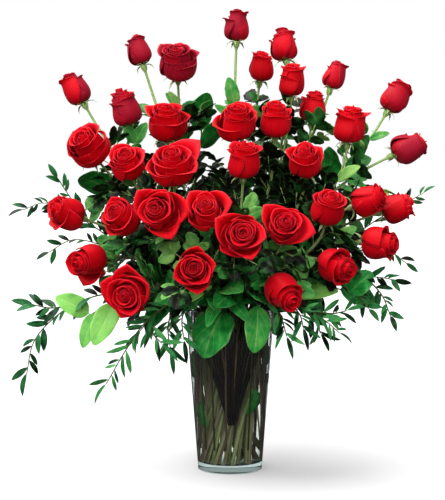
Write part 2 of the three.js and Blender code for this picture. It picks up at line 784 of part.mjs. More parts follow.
// A rose leaf is turned round its stem until it has room.
for (const { name, turn, stems } of sheaves) {
  stems.forEach(({ index, path }, i) => {
    LEAF_SPOTS[i].forEach((share, spot) => {
      const first = GOLDEN_ANGLE * (index + 3 * spot);
      const angles = Array.from({ length: ROSE_LEAF.tries }, (_, k) => first + ROSE_LEAF.nextTry * k);
      const leaf = angles
        .map((angle) => leafOn(path.bend, share, radians(angle)))
        .find((tried) => isClear(name, turned(roseLeaf({ ...tried, fat: ROOM }), turn)));
      if (leaf) pieces.get(name).push(place(name, turned(roseLeaf(leaf), turn)));
    });
  });
}

function greenOf(name) {
  if (name in SALAL) return MATERIAL.salal;
  return name in RUSCUS ? MATERIAL.ruscus : MATERIAL.roseGreen;
}

for (const [name, solids] of pieces) bouquet.add(meshOf(name, fuse(solids), greenOf(name)));
bouquet.add(meshOf("vase", vase, MATERIAL.glass));
bouquet.add(meshOf("water", makeWater(holes), MATERIAL.water));

export default bouquet;
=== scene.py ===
import bmesh
import bpy
import mathutils
import numpy as np
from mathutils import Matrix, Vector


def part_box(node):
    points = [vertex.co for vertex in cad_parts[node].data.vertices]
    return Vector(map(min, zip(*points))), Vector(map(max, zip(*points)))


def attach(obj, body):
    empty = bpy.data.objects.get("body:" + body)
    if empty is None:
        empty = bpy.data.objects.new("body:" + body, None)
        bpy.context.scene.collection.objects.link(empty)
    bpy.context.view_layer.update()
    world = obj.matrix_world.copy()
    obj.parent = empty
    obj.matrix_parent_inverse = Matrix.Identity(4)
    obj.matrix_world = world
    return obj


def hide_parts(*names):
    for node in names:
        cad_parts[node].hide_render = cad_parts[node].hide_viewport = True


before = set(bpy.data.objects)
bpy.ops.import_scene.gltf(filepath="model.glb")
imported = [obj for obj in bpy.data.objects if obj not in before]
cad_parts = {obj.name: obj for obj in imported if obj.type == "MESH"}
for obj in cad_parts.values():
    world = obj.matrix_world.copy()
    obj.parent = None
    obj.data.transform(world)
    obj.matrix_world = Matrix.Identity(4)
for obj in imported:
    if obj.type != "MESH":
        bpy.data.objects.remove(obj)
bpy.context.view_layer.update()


# ---------------- the vase
# One tall, tapered vessel of clear pressed glass: a wall 3.4 mm thick on a heavy foot, which looks faintly
# blue-green from the side. It was pressed in a mould and fire-polished, so that its rim and foot are round.

VASE_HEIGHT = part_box("vase")[1].z
RIM_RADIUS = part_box("vase")[1].x
FOOT_RADIUS = 0.0555
GLASS_WALL = 0.0034
FOOT_THICKNESS = 0.014
FOOT_HOLLOW = 0.001  # how far the foot's underside is hollowed
FOOT_EDGE = 0.002  # radius of the foot's rounded edge
FLOOR_FILLET = 0.007  # radius where the inside wall runs into the floor
GLASS_SIDES = 96


def linear(colour):
    """An sRGB hex colour such as "#c00a16" as linear red, green, blue and alpha."""
    srgb = np.array([int(colour[i : i + 2], 16) / 255 for i in (1, 3, 5)])
    rgb = np.where(srgb <= 0.04045, srgb / 12.92, ((srgb + 0.055) / 1.055) ** 2.4)
    return (*rgb, 1.0)


def connect(node, sockets):
    """Fills a node's inputs, given by name or number. Outputs are linked, and of a node its first output in
    use. An sRGB hex colour is turned linear, and anything else is a constant."""
    for socket, value in sockets.items():
        if isinstance(value, bpy.types.Node):
            value = next(output for output in value.outputs if output.enabled)
        if isinstance(value, bpy.types.NodeSocket):
            node.id_data.links.new(value, node.inputs[socket])
        else:
            node.inputs[socket].default_value = linear(value) if isinstance(value, str) else value


def add(tree, kind, sockets=None, **settings):
    """Adds a node with its inputs, as for connect, and its own settings. MapRange carries input 0 from the
    range 1 to 2 over to the range 3 to 4, and Mix goes from colour 6 to colour 7 by the share 0."""
    node = tree.nodes.new("ShaderNode" + kind)
    for name, value in settings.items():
        setattr(node, name, value)
    connect(node, sockets or {})
    return node


def new_material(name, **values):
    """A material with one shader. values are the shader's constant sockets, with _ for a space."""
    material = bpy.data.materials.new(name)
    material.use_nodes = True
    shader = material.node_tree.nodes["Principled BSDF"]
    connect(shader, {socket.replace("_", " "): value for socket, value in values.items()})
    return material, material.node_tree, shader


def new_object(name, data):
    """An object in the scene, of a mesh, a lamp or a camera."""
    created = bpy.data.objects.new(name, data)
    bpy.context.scene.collection.objects.link(created)
    return created


def make_piece(name, sheets, material, tones=None, wall=0):
    """A mesh piece from lists of surfaces, each sheets[n, row, column, xyz]. Four neighbouring grid points
    make a quad that faces column x row. Points that coincide are merged, which closes seams, poles and tips.
    The UV map holds each point's share of its columns and rows, and tones gives each surface a tone of its
    own. wall is the thickness that an open sheet is given."""
    tones = tones or [np.full(len(part), 0.5) for part in sheets]
    points, quads, shares, tone = [], [], [], []
    start = 0
    for part, part_tones in zip(sheets, tones):
        n, rows, columns = part.shape[:3]
        index = start + np.arange(n * rows * columns).reshape(n, rows, columns)
        corners = [index[:, :-1, :-1], index[:, :-1, 1:], index[:, 1:, 1:], index[:, 1:, :-1]]
        quads.append(np.stack(corners, -1).reshape(-1, 4))
        across, along = np.meshgrid(np.linspace(0, 1, columns), np.linspace(0, 1, rows))
        shares.append(np.tile(np.stack([across, along], -1).reshape(-1, 2), (n, 1)))
        tone.append(np.repeat(part_tones, rows * columns))
        points.append(part.reshape(-1, 3))
        start += n * rows * columns
    points, quads, shares, tone = (np.concatenate(parts) for parts in (points, quads, shares, tone))

    mesh = bpy.data.meshes.new(name)
    mesh.from_pydata(points.tolist(), [], quads.tolist())
    mesh.uv_layers.new(name="UVMap").uv.foreach_set("vector", shares[quads.ravel()].ravel())
    mesh.attributes.new("tone", "FLOAT", "POINT").data.foreach_set("value", tone)
    merged = bmesh.new()
    merged.from_mesh(mesh)
    bmesh.ops.remove_doubles(merged, verts=merged.verts, dist=2e-6)
    merged.to_mesh(mesh)
    merged.free()
    mesh.shade_smooth()
    mesh.materials.append(material)

    piece = new_object(name, mesh)
    if wall:
        thickness = piece.modifiers.new("thickness", "SOLIDIFY")
        thickness.thickness = wall
        thickness.offset = 0
    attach(piece, "root")
    return piece


def arc(centre, radius, first, last, count=7):
    """Points (r, z) of a circle's arc, from one angle to another: centre + radius * (cos, sin)."""
    angle = np.radians(np.linspace(first, last, count))
    return np.array(centre) + radius * np.stack([np.cos(angle), np.sin(angle)], -1)


def turned_shell(profile, sides):
    """A profile of points (r, z) carried once round the Z axis: (r cos a, r sin a, z)."""
    angle = np.linspace(0, 2 * np.pi, sides + 1)
    radius, height = profile[:, :1], profile[:, 1:]
    return np.stack([radius * np.cos(angle), radius * np.sin(angle), height + 0 * angle], -1)[None]


def straight(start, end, count):
    """Evenly spaced points of a straight line, without its end points."""
    return np.linspace(start, end, count + 2)[1:-1]


def inner_radius(z):
    """The radius of the vase's inside wall at a height, which grows evenly from floor to rim."""
    share = (z - FOOT_THICKNESS) / (VASE_HEIGHT - FOOT_THICKNESS)
    return (FOOT_RADIUS + (RIM_RADIUS - FOOT_RADIUS) * share) - GLASS_WALL


lip = GLASS_WALL / 2
fillet_top = FOOT_THICKNESS + FLOOR_FILLET
# The inside of the floor dips by half a millimetre to its middle.
inside_floor = np.array([[FOOT_RADIUS * 0.5, FOOT_THICKNESS - 0.0004], [0, FOOT_THICKNESS - 0.0006]])
vase_profile = np.concatenate([
    [[0, FOOT_HOLLOW], [FOOT_RADIUS * 0.8, FOOT_HOLLOW]],
    arc((FOOT_RADIUS - FOOT_EDGE, FOOT_EDGE), FOOT_EDGE, -90, 0),
    straight((FOOT_RADIUS, FOOT_EDGE), (RIM_RADIUS, VASE_HEIGHT - lip), 20),
    arc((RIM_RADIUS - lip, VASE_HEIGHT - lip), lip, 0, 180, 11),
    straight((RIM_RADIUS - 2 * lip, VASE_HEIGHT - lip), (inner_radius(fillet_top), fillet_top), 20),
    arc((inner_radius(fillet_top) - FLOOR_FILLET, fillet_top), FLOOR_FILLET, 0, -90),
    inside_floor,
])


def pressed_glass():
    """Soda-lime glass, pressed and fire-polished: clear, with a faint waviness. It is blue-green where it is
    thick. Towards its outline, where its surface turns from the view, its colour is greyed: painted shade."""
    material, tree, shader = new_material(
        "pressed soda-lime glass", IOR=1.5, Roughness=0.01, Transmission_Weight=1.0
    )
    place = add(tree, "TexCoord").outputs["Object"]
    height = add(tree, "SeparateXYZ", {0: place}).outputs["Z"]
    turned_away = add(tree, "LayerWeight", {"Blend": 0.5}).outputs["Facing"]
    # Painted shade: grey mixed into the glass where its surface turns from the view, towards its outline.
    edge = add(tree, "MapRange", {0: turned_away, 1: 0.15, 2: 0.7, 3: 0.0, 4: 0.8})
    foot = add(
        tree, "MapRange", {0: height, 1: FOOT_THICKNESS * 0.8, 2: FOOT_THICKNESS * 1.3, 3: 1.0, 4: 0.0}
    )
    colour = "#fbfdfd"
    for share, tint in ((edge, "#6d7574"), (foot, "#dcf6f2")):
        colour = add(tree, "Mix", {0: share, 6: colour, 7: tint}, data_type="RGBA")
    # Waves of about 25 mm, left by the mould.
    waves = add(tree, "TexNoise", {"Vector": place, "Scale": 40.0, "Detail": 1.0})
    bump = add(tree, "Bump", {"Strength": 0.12, "Distance": 0.001, "Height": waves})
    connect(shader, {"Base Color": colour, "Normal": bump})
    return material


vase = make_piece("vase_glass", [turned_shell(vase_profile, GLASS_SIDES)], pressed_glass())
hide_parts("vase")
vase.visible_shadow = False  # clear glass and water let the lamp's light through


# ---------------- the water
# Fresh tap water, which fills the vase nearly to its rim. It wets the glass: it meets the wall and the floor
# all over, and climbs 1.5 mm up the wall at its edge.

WATER_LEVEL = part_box("water")[1].z
WETTED = 0.0002  # how far the water's skin lies in the glass, so that no air shows between them
MENISCUS = 0.0015  # how far the water climbs, within MENISCUS_WIDTH of the wall
MENISCUS_WIDTH = 0.003
water_radius = inner_radius(WATER_LEVEL)
water_profile = np.concatenate([
    inside_floor[::-1] - [0, WETTED],
    arc((inner_radius(fillet_top) - FLOOR_FILLET, fillet_top), FLOOR_FILLET + WETTED, -90, 0),
    straight((inner_radius(fillet_top) + WETTED, fillet_top), (water_radius + WETTED, WATER_LEVEL), 20),
    [[water_radius + WETTED, WATER_LEVEL], [water_radius - 0.0005, WATER_LEVEL - 0.0003]],
    [[water_radius - MENISCUS_WIDTH, WATER_LEVEL - MENISCUS], [0, WATER_LEVEL - MENISCUS]],
])


def tap_water():
    """Clear water, a little green from the stems that stand in it."""
    return new_material(
        "tap water", Base_Color="#f3f8f2", IOR=1.333, Roughness=0.0, Transmission_Weight=1.0
    )[0]


water = make_piece("vase_water", [turned_shell(water_profile, GLASS_SIDES)], tap_water())
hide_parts("water")
water.visible_shadow = False


# ---------------- the rose stems
# 36 round green rose stems, 4 to 6 mm thick, with a few thorns. They stand on the vase's floor in nine
# sheaves of four. The stems of a sheaf pass each other in the water, run to the rim and bend to their blooms.
# Each ends in a swollen hip.

# The way each sheaf leaves the vase, from +X, and its roses: the centre of the bloom, its width, how far it
# has opened (0 a bud, 1 full blown) and the way it faces. The steepest stem comes first.
SHEAVES = {
    22: [
        ((0.188, 0.100, 0.691), 0.044, 0.10, (0.3, 0.1, 0.95)),
        ((0.148, 0.062, 0.631), 0.056, 0.40, (0.12, -0.1, 1)),
        ((0.299, 0.110, 0.652), 0.060, 0.35, (0.5, 0.15, 0.85)),
        ((0.319, 0.080, 0.559), 0.064, 0.40, (0.85, 0.05, 0.4)),
    ],
    58: [
        ((0.013, 0.040, 0.771), 0.050, 0.25, (0.05, 0.05, 1)),
        ((0.055, 0.050, 0.701), 0.053, 0.40, (0.1, -0.25, 0.95)),
        ((0.098, 0.110, 0.744), 0.060, 0.45, (-0.12, 0.2, 1)),
        ((0.109, 0.040, 0.676), 0.055, 0.35, (0.05, -0.2, 0.97)),
    ],
    146: [
        ((-0.090, -0.005, 0.702), 0.080, 0.70, (0, -0.55, 0.83)),
        ((-0.162, 0.080, 0.732), 0.048, 0.20, (-0.3, 0.1, 0.94)),
        ((-0.185, 0.050, 0.629), 0.062, 0.30, (-0.25, -0.15, 0.95)),
        ((-0.275, 0.080, 0.664), 0.057, 0.30, (-0.5, 0.1, 0.85)),
    ],
    180: [
        ((-0.106, -0.040, 0.600), 0.082, 0.70, (0, -0.5, 0.86)),
        ((-0.240, -0.060, 0.557), 0.091, 0.85, (-0.4, -0.7, 0.58)),
        ((-0.278, -0.040, 0.446), 0.069, 0.50, (-0.75, -0.55, 0.3)),
        ((-0.236, -0.100, 0.367), 0.067, 0.45, (-0.6, -0.75, -0.1)),
    ],
    214: [
        ((-0.094, -0.120, 0.525), 0.092, 0.85, (0, -0.7, 0.7)),
        ((-0.171, -0.100, 0.530), 0.066, 0.60, (-0.2, -0.7, 0.65)),
        ((-0.180, -0.120, 0.441), 0.072, 0.65, (-0.5, -0.75, 0.4)),
        ((-0.162, -0.160, 0.316), 0.085, 0.85, (-0.3, -0.93, -0.1)),
    ],
    248: [
        ((-0.038, -0.190, 0.452), 0.069, 0.70, (0, -0.85, 0.5)),
        ((-0.116, -0.175, 0.450), 0.081, 0.85, (-0.1, -0.95, 0.25)),
        ((0.017, -0.240, 0.416), 0.082, 0.90, (0, -0.97, 0.25)),
        ((-0.058, -0.210, 0.361), 0.074, 0.80, (-0.05, -0.98, 0.1)),
    ],
    281: [
        ((0.010, -0.060, 0.598), 0.082, 0.75, (0, -0.55, 0.83)),
        ((0.023, -0.110, 0.535), 0.063, 0.40, (0.05, -0.45, 0.9)),
        ((0.085, -0.190, 0.428), 0.076, 0.85, (0.05, -0.9, 0.4)),
        ((0.087, -0.180, 0.321), 0.070, 0.45, (0.45, -0.8, -0.4)),
    ],
    314: [
        ((0.077, -0.030, 0.604), 0.068, 0.55, (0, -0.35, 0.93)),
        ((0.124, -0.090, 0.533), 0.067, 0.60, (-0.05, -0.7, 0.7)),
        ((0.160, -0.130, 0.457), 0.066, 0.50, (0.1, -0.6, 0.75)),
        ((0.174, -0.140, 0.360), 0.065, 0.40, (0.6, -0.75, -0.2)),
    ],
    348: [
        ((0.205, -0.010, 0.596), 0.069, 0.50, (0.1, -0.15, 1)),
        ((0.288, -0.010, 0.455), 0.060, 0.45, (0.9, -0.1, 0.3)),
        ((0.233, -0.070, 0.468), 0.062, 0.40, (0.8, -0.4, 0.35)),
        ((0.250, -0.080, 0.395), 0.069, 0.55, (0.85, -0.45, -0.05)),
    ],
}
LEANS = np.array([0.1, 0.18, 0.26, 0.34])  # metres sideways per metre of height, the steepest stem first
CROSSING_RADIUS, CROSSING_HEIGHT = 0.026, 0.125
STEM_OFFSETS = 0.003 * np.array([-1.5, 0.5, -0.5, 1.5])  # of a sheaf's stems where they pass each other
FOOT_OF_STEM = FOOT_THICKNESS + 0.0008
STEM_FOOT_RADIUS, STEM_NECK_RADIUS = 0.0029, 0.0022
BEND_PULL = 0.35  # how far a bend keeps its first and last direction, as a share of its length
CALYX_LENGTH = 0.017
CALYX_SHARES = np.array([0.2, 0.36, 0.55, 0.75, 0.88, 0.97])  # up the calyx, the hip's radii
CALYX_RADII = np.array([0.0028, 0.0044, 0.0056, 0.0058, 0.0052, 0.0035])
CANE_SIDES = 10
GOLDEN_ANGLE = 137.5  # from one repeat to the next, so that no two lie alike
UP = np.array([0.0, 0.0, 1.0])
rng = np.random.default_rng(36)  # all that is left to chance is drawn from it


def unit(vectors):
    """Each vector divided by its own length."""
    return vectors / np.linalg.norm(vectors, axis=-1, keepdims=True)


def dot(a, b):
    """The dot product along the last axis, which is kept."""
    return (a * b).sum(-1, keepdims=True)


def turned(vectors, degrees):
    """Vectors turned about +Z."""
    a = np.radians(degrees)
    x, y, z = np.moveaxis(vectors, -1, 0)
    return np.stack([x * np.cos(a) - y * np.sin(a), x * np.sin(a) + y * np.cos(a), z + 0 * a], -1)


roses = [rose for sheaf in SHEAVES.values() for rose in sheaf]
bloom_at, bloom_across, bloom_open, bloom_faces = (np.array(column) for column in zip(*roses))
bloom_faces = unit(bloom_faces)
bloom_height = bloom_across * (1.25 - 0.75 * bloom_open)
bloom_seat = bloom_at - bloom_faces * bloom_height[:, None] / 2
hints = np.where(abs(bloom_faces[:, :1]) < 0.9, [1.0, 0.0, 0.0], [0.0, 1.0, 0.0])
bloom_x = unit(hints - dot(hints, bloom_faces) * bloom_faces)
bloom_y = np.cross(bloom_faces, bloom_x)
rose_number = np.arange(len(roses))
bloom_spin = np.radians(GOLDEN_ANGLE * rose_number)


def standing_stems(foot, waist, waist_height, lean, turn, count=25):
    """Straight stems from the foot's height to the rim through (waist, lean * (z - waist height), z), turned
    round the vase's axis."""
    heights = np.linspace(foot, VASE_HEIGHT, count)
    flat = np.broadcast_arrays(waist[:, None], lean[:, None] * (heights - waist_height), heights)
    return turned(np.stack(flat, -1), turn[:, None])


def bezier(a, b, c, d, t):
    """The point at share t of the cubic Bezier curve with the corners a, b, c and d."""
    return (1 - t) ** 3 * a + 3 * (1 - t) ** 2 * t * b + 3 * (1 - t) * t**2 * c + t**3 * d


def bends(start, leaving, end, arriving, pull, count):
    """Bezier curves from each start to its end, without the start. They leave and arrive in the given
    directions, with the inner corners at pull times the length from the ends."""
    reach = pull * np.linalg.norm(end - start, axis=-1, keepdims=True)
    corners = (start, start + leaving * reach, end - arriving * reach, end)
    return bezier(*(corner[:, None] for corner in corners), np.linspace(0, 1, count + 1)[1:, None])


def stem_paths():
    """Points of all stems, in three parts: straight from the floor to the rim, bent from there to the bloom's
    neck, and straight on through the calyx. Every sheaf is turned to its way out of the vase."""
    swing = np.degrees(np.arctan(LEANS[2] * (VASE_HEIGHT - CROSSING_HEIGHT) / CROSSING_RADIUS))
    turn = np.repeat(np.array(list(SHEAVES)) - swing, 4)
    lean = np.tile(LEANS, len(SHEAVES))
    waist = CROSSING_RADIUS + np.tile(STEM_OFFSETS, len(SHEAVES))
    standing = standing_stems(FOOT_OF_STEM, waist, CROSSING_HEIGHT, lean, turn, 8)
    rising = turned(unit(np.stack([0 * lean, lean, 1 + 0 * lean], -1)), turn)
    neck = bloom_seat - bloom_faces * CALYX_LENGTH
    bend = bends(standing[:, -1], rising, neck, bloom_faces, BEND_PULL, 18)
    calyx = neck[:, None] + bloom_faces[:, None] * CALYX_LENGTH * CALYX_SHARES[:, None]
    return standing, bend, calyx


def tubes(paths, radii, sides):
    """Round rods along n paths of m points. Every ring is square to its path and starts from one direction
    that is level and square to the rod's own run, so the rod doesn't twist. Both ends close on the path."""
    along = unit(np.gradient(paths, axis=1))
    run = paths[:, -1] - paths[:, 0]
    level = np.cross(UP, run) + [1e-6, 0, 0]
    across = unit(level[:, None] - dot(level[:, None], along) * along)
    other = np.cross(along, across)
    angle = np.linspace(0, 2 * np.pi, sides + 1)[:, None]
    spokes = across[:, :, None] * np.cos(angle) + other[:, :, None] * np.sin(angle)
    rings = paths[:, :, None] + spokes * np.broadcast_to(radii, paths.shape[:2])[..., None, None]
    ends = np.broadcast_to(paths[:, :, None], rings.shape)
    return np.concatenate([ends[:, :1], rings, ends[:, -1:]], 1)


standing, bend, calyx = stem_paths()
stem_path = np.concatenate([standing, bend, calyx], 1)
stem_radii = np.concatenate([
    np.full(standing.shape[1], STEM_FOOT_RADIUS),
    np.linspace(STEM_FOOT_RADIUS, STEM_NECK_RADIUS, bend.shape[1]),
    CALYX_RADII,
])

THORNS_PER_STEM = 7
THORN_LENGTH, THORN_FOOT = 0.0055, 0.0022
THORN_ROOT = 0.0015  # from the stem's axis to the foot of a thorn, inside the bark


def thorns(path):
    """Hooked cones on n stems: a fan of points round a foot, drawn out to a tip that bends down."""
    n = len(path)
    spot = np.linspace(2, path.shape[1] - 4, THORNS_PER_STEM).astype(int)
    foot = path[:, spot] + (path[:, spot + 1] - path[:, spot]) * rng.random((n, THORNS_PER_STEM, 1))
    along = unit(path[:, spot + 1] - path[:, spot])
    out = unit(np.cross(along, rng.normal(size=along.shape)))
    side = np.cross(along, out)
    angle = np.linspace(0, 2 * np.pi, 6)[:, None]
    ring = along[..., None, :] * np.cos(angle) * 1.5 + side[..., None, :] * np.sin(angle)
    base = foot[..., None, :] + out[..., None, :] * THORN_ROOT + ring * THORN_FOOT / 2
    middle = base + out[..., None, :] * THORN_LENGTH * 0.4 - ring * THORN_FOOT * 0.28
    tip = foot + out * (THORN_LENGTH + THORN_ROOT) - along * THORN_LENGTH * 0.45
    rows = [base, middle, np.broadcast_to(tip[..., None, :], base.shape)]
    return np.stack(rows, 2).reshape(n * THORNS_PER_STEM, 3, 6, 3)


def bark(name, brown, olive, fresh):
    """The smooth, waxy skin of a young stem, streaked lengthwise. Low down it goes from brown to olive with
    the stem's own tone, and higher up it turns fresh. The cut end is pale."""
    material, tree, shader = new_material(name, Roughness=0.42, Specular_IOR_Level=0.35)
    coordinates = add(tree, "TexCoord").outputs
    tone = add(tree, "Attribute", attribute_name="tone").outputs["Fac"]
    height = add(tree, "SeparateXYZ", {0: coordinates["Object"]}).outputs["Z"]
    grown = add(tree, "MapRange", {0: height, 1: VASE_HEIGHT, 2: VASE_HEIGHT + 0.3})
    cut = add(tree, "MapRange", {0: height, 1: FOOT_OF_STEM, 2: FOOT_OF_STEM + 0.006, 3: 0.8, 4: 0.0})
    colour = brown
    for share, tint in ((tone, olive), (grown, fresh), (cut, "#b9b184")):
        colour = add(tree, "Mix", {0: share, 6: colour, 7: tint}, data_type="RGBA")
    # Streaks 1.3 mm wide and about 80 mm long.
    streak_places = add(tree, "Mapping", {0: coordinates["UV"], "Scale": (14.0, 8.0, 1.0)})
    streaks = add(tree, "TexNoise", {"Vector": streak_places, "Scale": 1.0, "Detail": 3.0})
    light = add(tree, "MapRange", {0: streaks, 1: 0.3, 2: 0.7, 3: 0.45, 4: 1.7})
    streaked = add(tree, "HueSaturation", {"Value": light, "Color": colour})
    bump = add(tree, "Bump", {"Strength": 0.3, "Distance": 0.0004, "Height": streaks})
    connect(shader, {"Base Color": streaked, "Normal": bump})
    return material


rose_bark = bark("rose stem skin", "#948070", "#9aac70", "#8fb564")
stem_tones = (rose_number * 0.618) % 1
for s in range(len(SHEAVES)):
    four = slice(4 * s, 4 * s + 4)
    stems = make_piece(
        f"rose_canes_{s + 1}", [tubes(stem_path[four], stem_radii, CANE_SIDES), thorns(stem_path[four])],
        rose_bark, [stem_tones[four], np.repeat(stem_tones[four], THORNS_PER_STEM)],
    )
    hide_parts(f"rose_stems_{s + 1}")


# ---------------- the rose blooms
# 36 red garden-rose heads, 44 to 92 mm across: 15 to 24 velvety petals each, set round the seat in rows of
# five and wrapped round one another. The heart stands high, and the outer petals open and roll back.

SEAT_RADIUS = 0.0042
PETAL_ROWS, PETAL_COLUMNS = 15, 15
PETAL_THICKNESS = 0.0004
PETAL_FOLD = 0.62  # share of a petal's length below its fold


def petals(r, h, opened, spin):
    """The petals of one bloom in its own frame, with +Z out of the bloom. q runs from 0 for the heart's
    petals to 1 for the guard petals. Up to its fold a petal is a cup: a cubic Bezier curve (radius, rise)
    from the seat through the belly, swept over an angle either side of the petal's middle. From the fold on
    it rolls back round an arc, fold + roll * (sin(a) * onward + (1 - cos(a)) * outward). Its shoulders stand
    lower and nearer than its tip and roll further, which leaves the tip as a point."""

    def mix(bud, blown):
        return bud + (blown - bud) * opened

    count = round(mix(14, 25))
    k = np.arange(count)
    q = (1 - k / (count - 1))[:, None, None]
    # Each petal's own share of chance: how far it is turned, how wide, high and tight it is, how far its
    # shoulders roll, how it tilts, and where its ruffle and its crease lie.
    off, wide, high, tight, rolled, tilt, ruffle, crease = rng.normal(size=(8, count, 1, 1)).clip(-1.6, 1.6)
    middle = spin + np.radians(144 * (k % 5) + 36 * (k // 5))[:, None, None] + 0.22 * off
    s = np.linspace(-1, 1, PETAL_COLUMNS)[None, None, :]
    t = np.linspace(0, 1, PETAL_ROWS)[None, :, None] * (1 - 0.10 * abs(s) - 0.14 * abs(s) ** 4)

    # One guard petal of each bloom has fallen open further than the rest, and often a second half as far.
    loose = rng.integers(0, 5, 2)
    fallen = (k == loose[0])[:, None, None] * 1.0 + (k == loose[1])[:, None, None] * 0.5

    # The widest radius of the cup, the radius and the height of its fold, and the radius of the roll beyond.
    belly = r * (mix(0.12, 0.08) + mix(0.84, 0.70) * q ** mix(0.7, 1.15))
    rim = r * (0.04 + mix(0.62, 0.84) * q ** mix(0.85, 1.4)) * (1 + 0.06 * wide + 0.14 * fallen)
    top = h * (mix(0.95, 0.97) - mix(0.17, 0.46) * q ** mix(1.6, 2.2)) * (1 + 0.05 * high)
    top = top * (1 - 0.24 * fallen)
    roll = r * (0.02 + mix(0.22, 0.24) * q**1.3 * (1 + 0.45 * tight)) * (1 - 0.6 * q * abs(s) ** 0.8)

    cup = (t / PETAL_FOLD).clip(0, 1)
    radius = bezier(SEAT_RADIUS * (0.35 + 0.65 * q), mix(1.15, 1.05) * belly, 1.06 * belly, rim, cup)
    rise = bezier(0.0, 0.02 * h, 0.5 * top, top, cup)
    onward = unit(np.stack([rim - 1.06 * belly, 0.5 * top], -1))
    past = ((t - PETAL_FOLD) / (1 - PETAL_FOLD)).clip(0, None)
    bow = np.radians((50 + 40 * q) + (70 + 25 * rolled) * q * abs(s) ** 1.2) * past
    radius = radius + roll * (np.sin(bow) * onward[..., 0] + (1 - np.cos(bow)) * onward[..., 1])
    rise = rise + roll * (np.sin(bow) * onward[..., 1] - (1 - np.cos(bow)) * onward[..., 0])

    pulled = abs(s) ** 0.9 * t**2
    radius = radius * (1 + 0.05 * s - mix(0.12, 0.42) * q * pulled + 0.02 * np.sin(4.5 * s + crease) * t)
    rise = rise + h * t**2 * (0.04 * s * tilt + 0.012 * q * np.sin(2.5 * np.pi * s + 3 * ruffle))
    widening = 0.25 + 0.75 * np.sin(np.pi / 2 * (t / 0.75).clip(0, 1))
    spread = np.radians(mix(84, 66) + mix(60, 70) * (1 - q) ** 1.4) * widening
    angle = middle + s * spread
    # The heart leans a little to one side.
    lean = 0.09 * r * (1 - q) * (rise / h)
    aside = 2 * np.pi * rng.random()
    x = radius * np.cos(angle) + lean * np.cos(aside)
    y = radius * np.sin(angle) + lean * np.sin(aside)
    return np.stack([x, y, rise + 0 * angle], -1), count


def rose_petal():
    """A red rose petal: velvet, because its skin cells stand up as tiny cones. Light glances off them as a
    soft pinkish sheen, and some of it passes through. Fine veins fan out from the base. The base is painted
    darker, as shade deep in the bloom, and the margin is painted lighter, as a highlight. A petal with a tone
    over 1 is crimson."""
    material, tree, shader = new_material(
        "red rose petal", Roughness=0.55, Sheen_Weight=0.16, Sheen_Roughness=0.4, Sheen_Tint="#ff5f7c",
        Subsurface_Weight=0.1, Subsurface_Scale=0.003, Subsurface_Radius=(1.0, 0.05, 0.04),
        Specular_IOR_Level=0.16,
    )
    shares = add(tree, "TexCoord").outputs["UV"]
    across, along = add(tree, "SeparateXYZ", {0: shares}).outputs[:2]
    tone = add(tree, "Attribute", attribute_name="tone").outputs["Fac"]
    # Veins about 1.5 mm apart on a petal 40 mm wide, coarser than real ones so that they show.
    vein_places = add(tree, "Mapping", {0: shares, "Scale": (26.0, 1.6, 1.0)})
    veins = add(tree, "TexNoise", {"Vector": vein_places, "Scale": 1.0, "Detail": 2.0})
    vein_share = add(tree, "MapRange", {0: veins, 1: 0.45, 2: 0.7, 3: 0.0, 4: 0.35})
    # Painted shade: the petal is darkest at its base, deep in the bloom, and turns red towards its top.
    upper = add(tree, "MapRange", {0: along, 1: 0.25, 2: 0.85})
    crimson = add(tree, "MapRange", {0: tone, 1: 0.98, 2: 1.5})
    # Painted highlight: a lighter rim along the petal's sides and tip.
    off_middle = add(tree, "Math", {0: across, 1: 2.0, 2: -1.0}, operation="MULTIPLY_ADD")
    off_middle = add(tree, "Math", {0: off_middle}, operation="ABSOLUTE")
    edge = add(tree, "Math", {0: off_middle, 1: along}, operation="MAXIMUM")
    margin = add(tree, "MapRange", {0: edge, 1: 0.93, 2: 0.99, 3: 0.0, 4: 0.4})
    # The first colour is the painted shade at the base, and the last tint is the painted highlight on the
    # rim.
    colour = "#98000e"
    own = ((upper, "#dc0010"), (tone, "#dc0418"), (crimson, "#a0122a"))
    for share, tint in (*own, (vein_share, "#8c000d"), (margin, "#ee3448")):
        colour = add(tree, "Mix", {0: share, 6: colour, 7: tint}, data_type="RGBA")
    bump = add(tree, "Bump", {"Strength": 0.25, "Distance": 0.0005, "Height": veins})
    connect(shader, {"Base Color": colour, "Normal": bump})
    return material


CRIMSON_ROSES = (1, 3, 4, 5, 7, 9, 10, 11, 12)
velvet = rose_petal()
for i in rose_number:
    local, count = petals(bloom_across[i] / 2, bloom_height[i], bloom_open[i], bloom_spin[i])
    axes = np.stack([bloom_x[i], bloom_y[i], bloom_faces[i]])
    bloom = make_piece(
        f"rose_{i + 1:02d}", [local @ axes + bloom_seat[i]], velvet,
        [rng.random(count) + (i + 1 in CRIMSON_ROSES)], PETAL_THICKNESS,
    )
    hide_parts(f"rose_bloom_{i + 1:02d}")


# ---------------- the sepals and the rose leaves
# Under each bloom five narrow sepals stand out from the hip and curl down. Up the stems grow compound leaves:
# a stalk with an end leaflet and two pairs beside it, oval, saw-edged and folded a little along the rib.

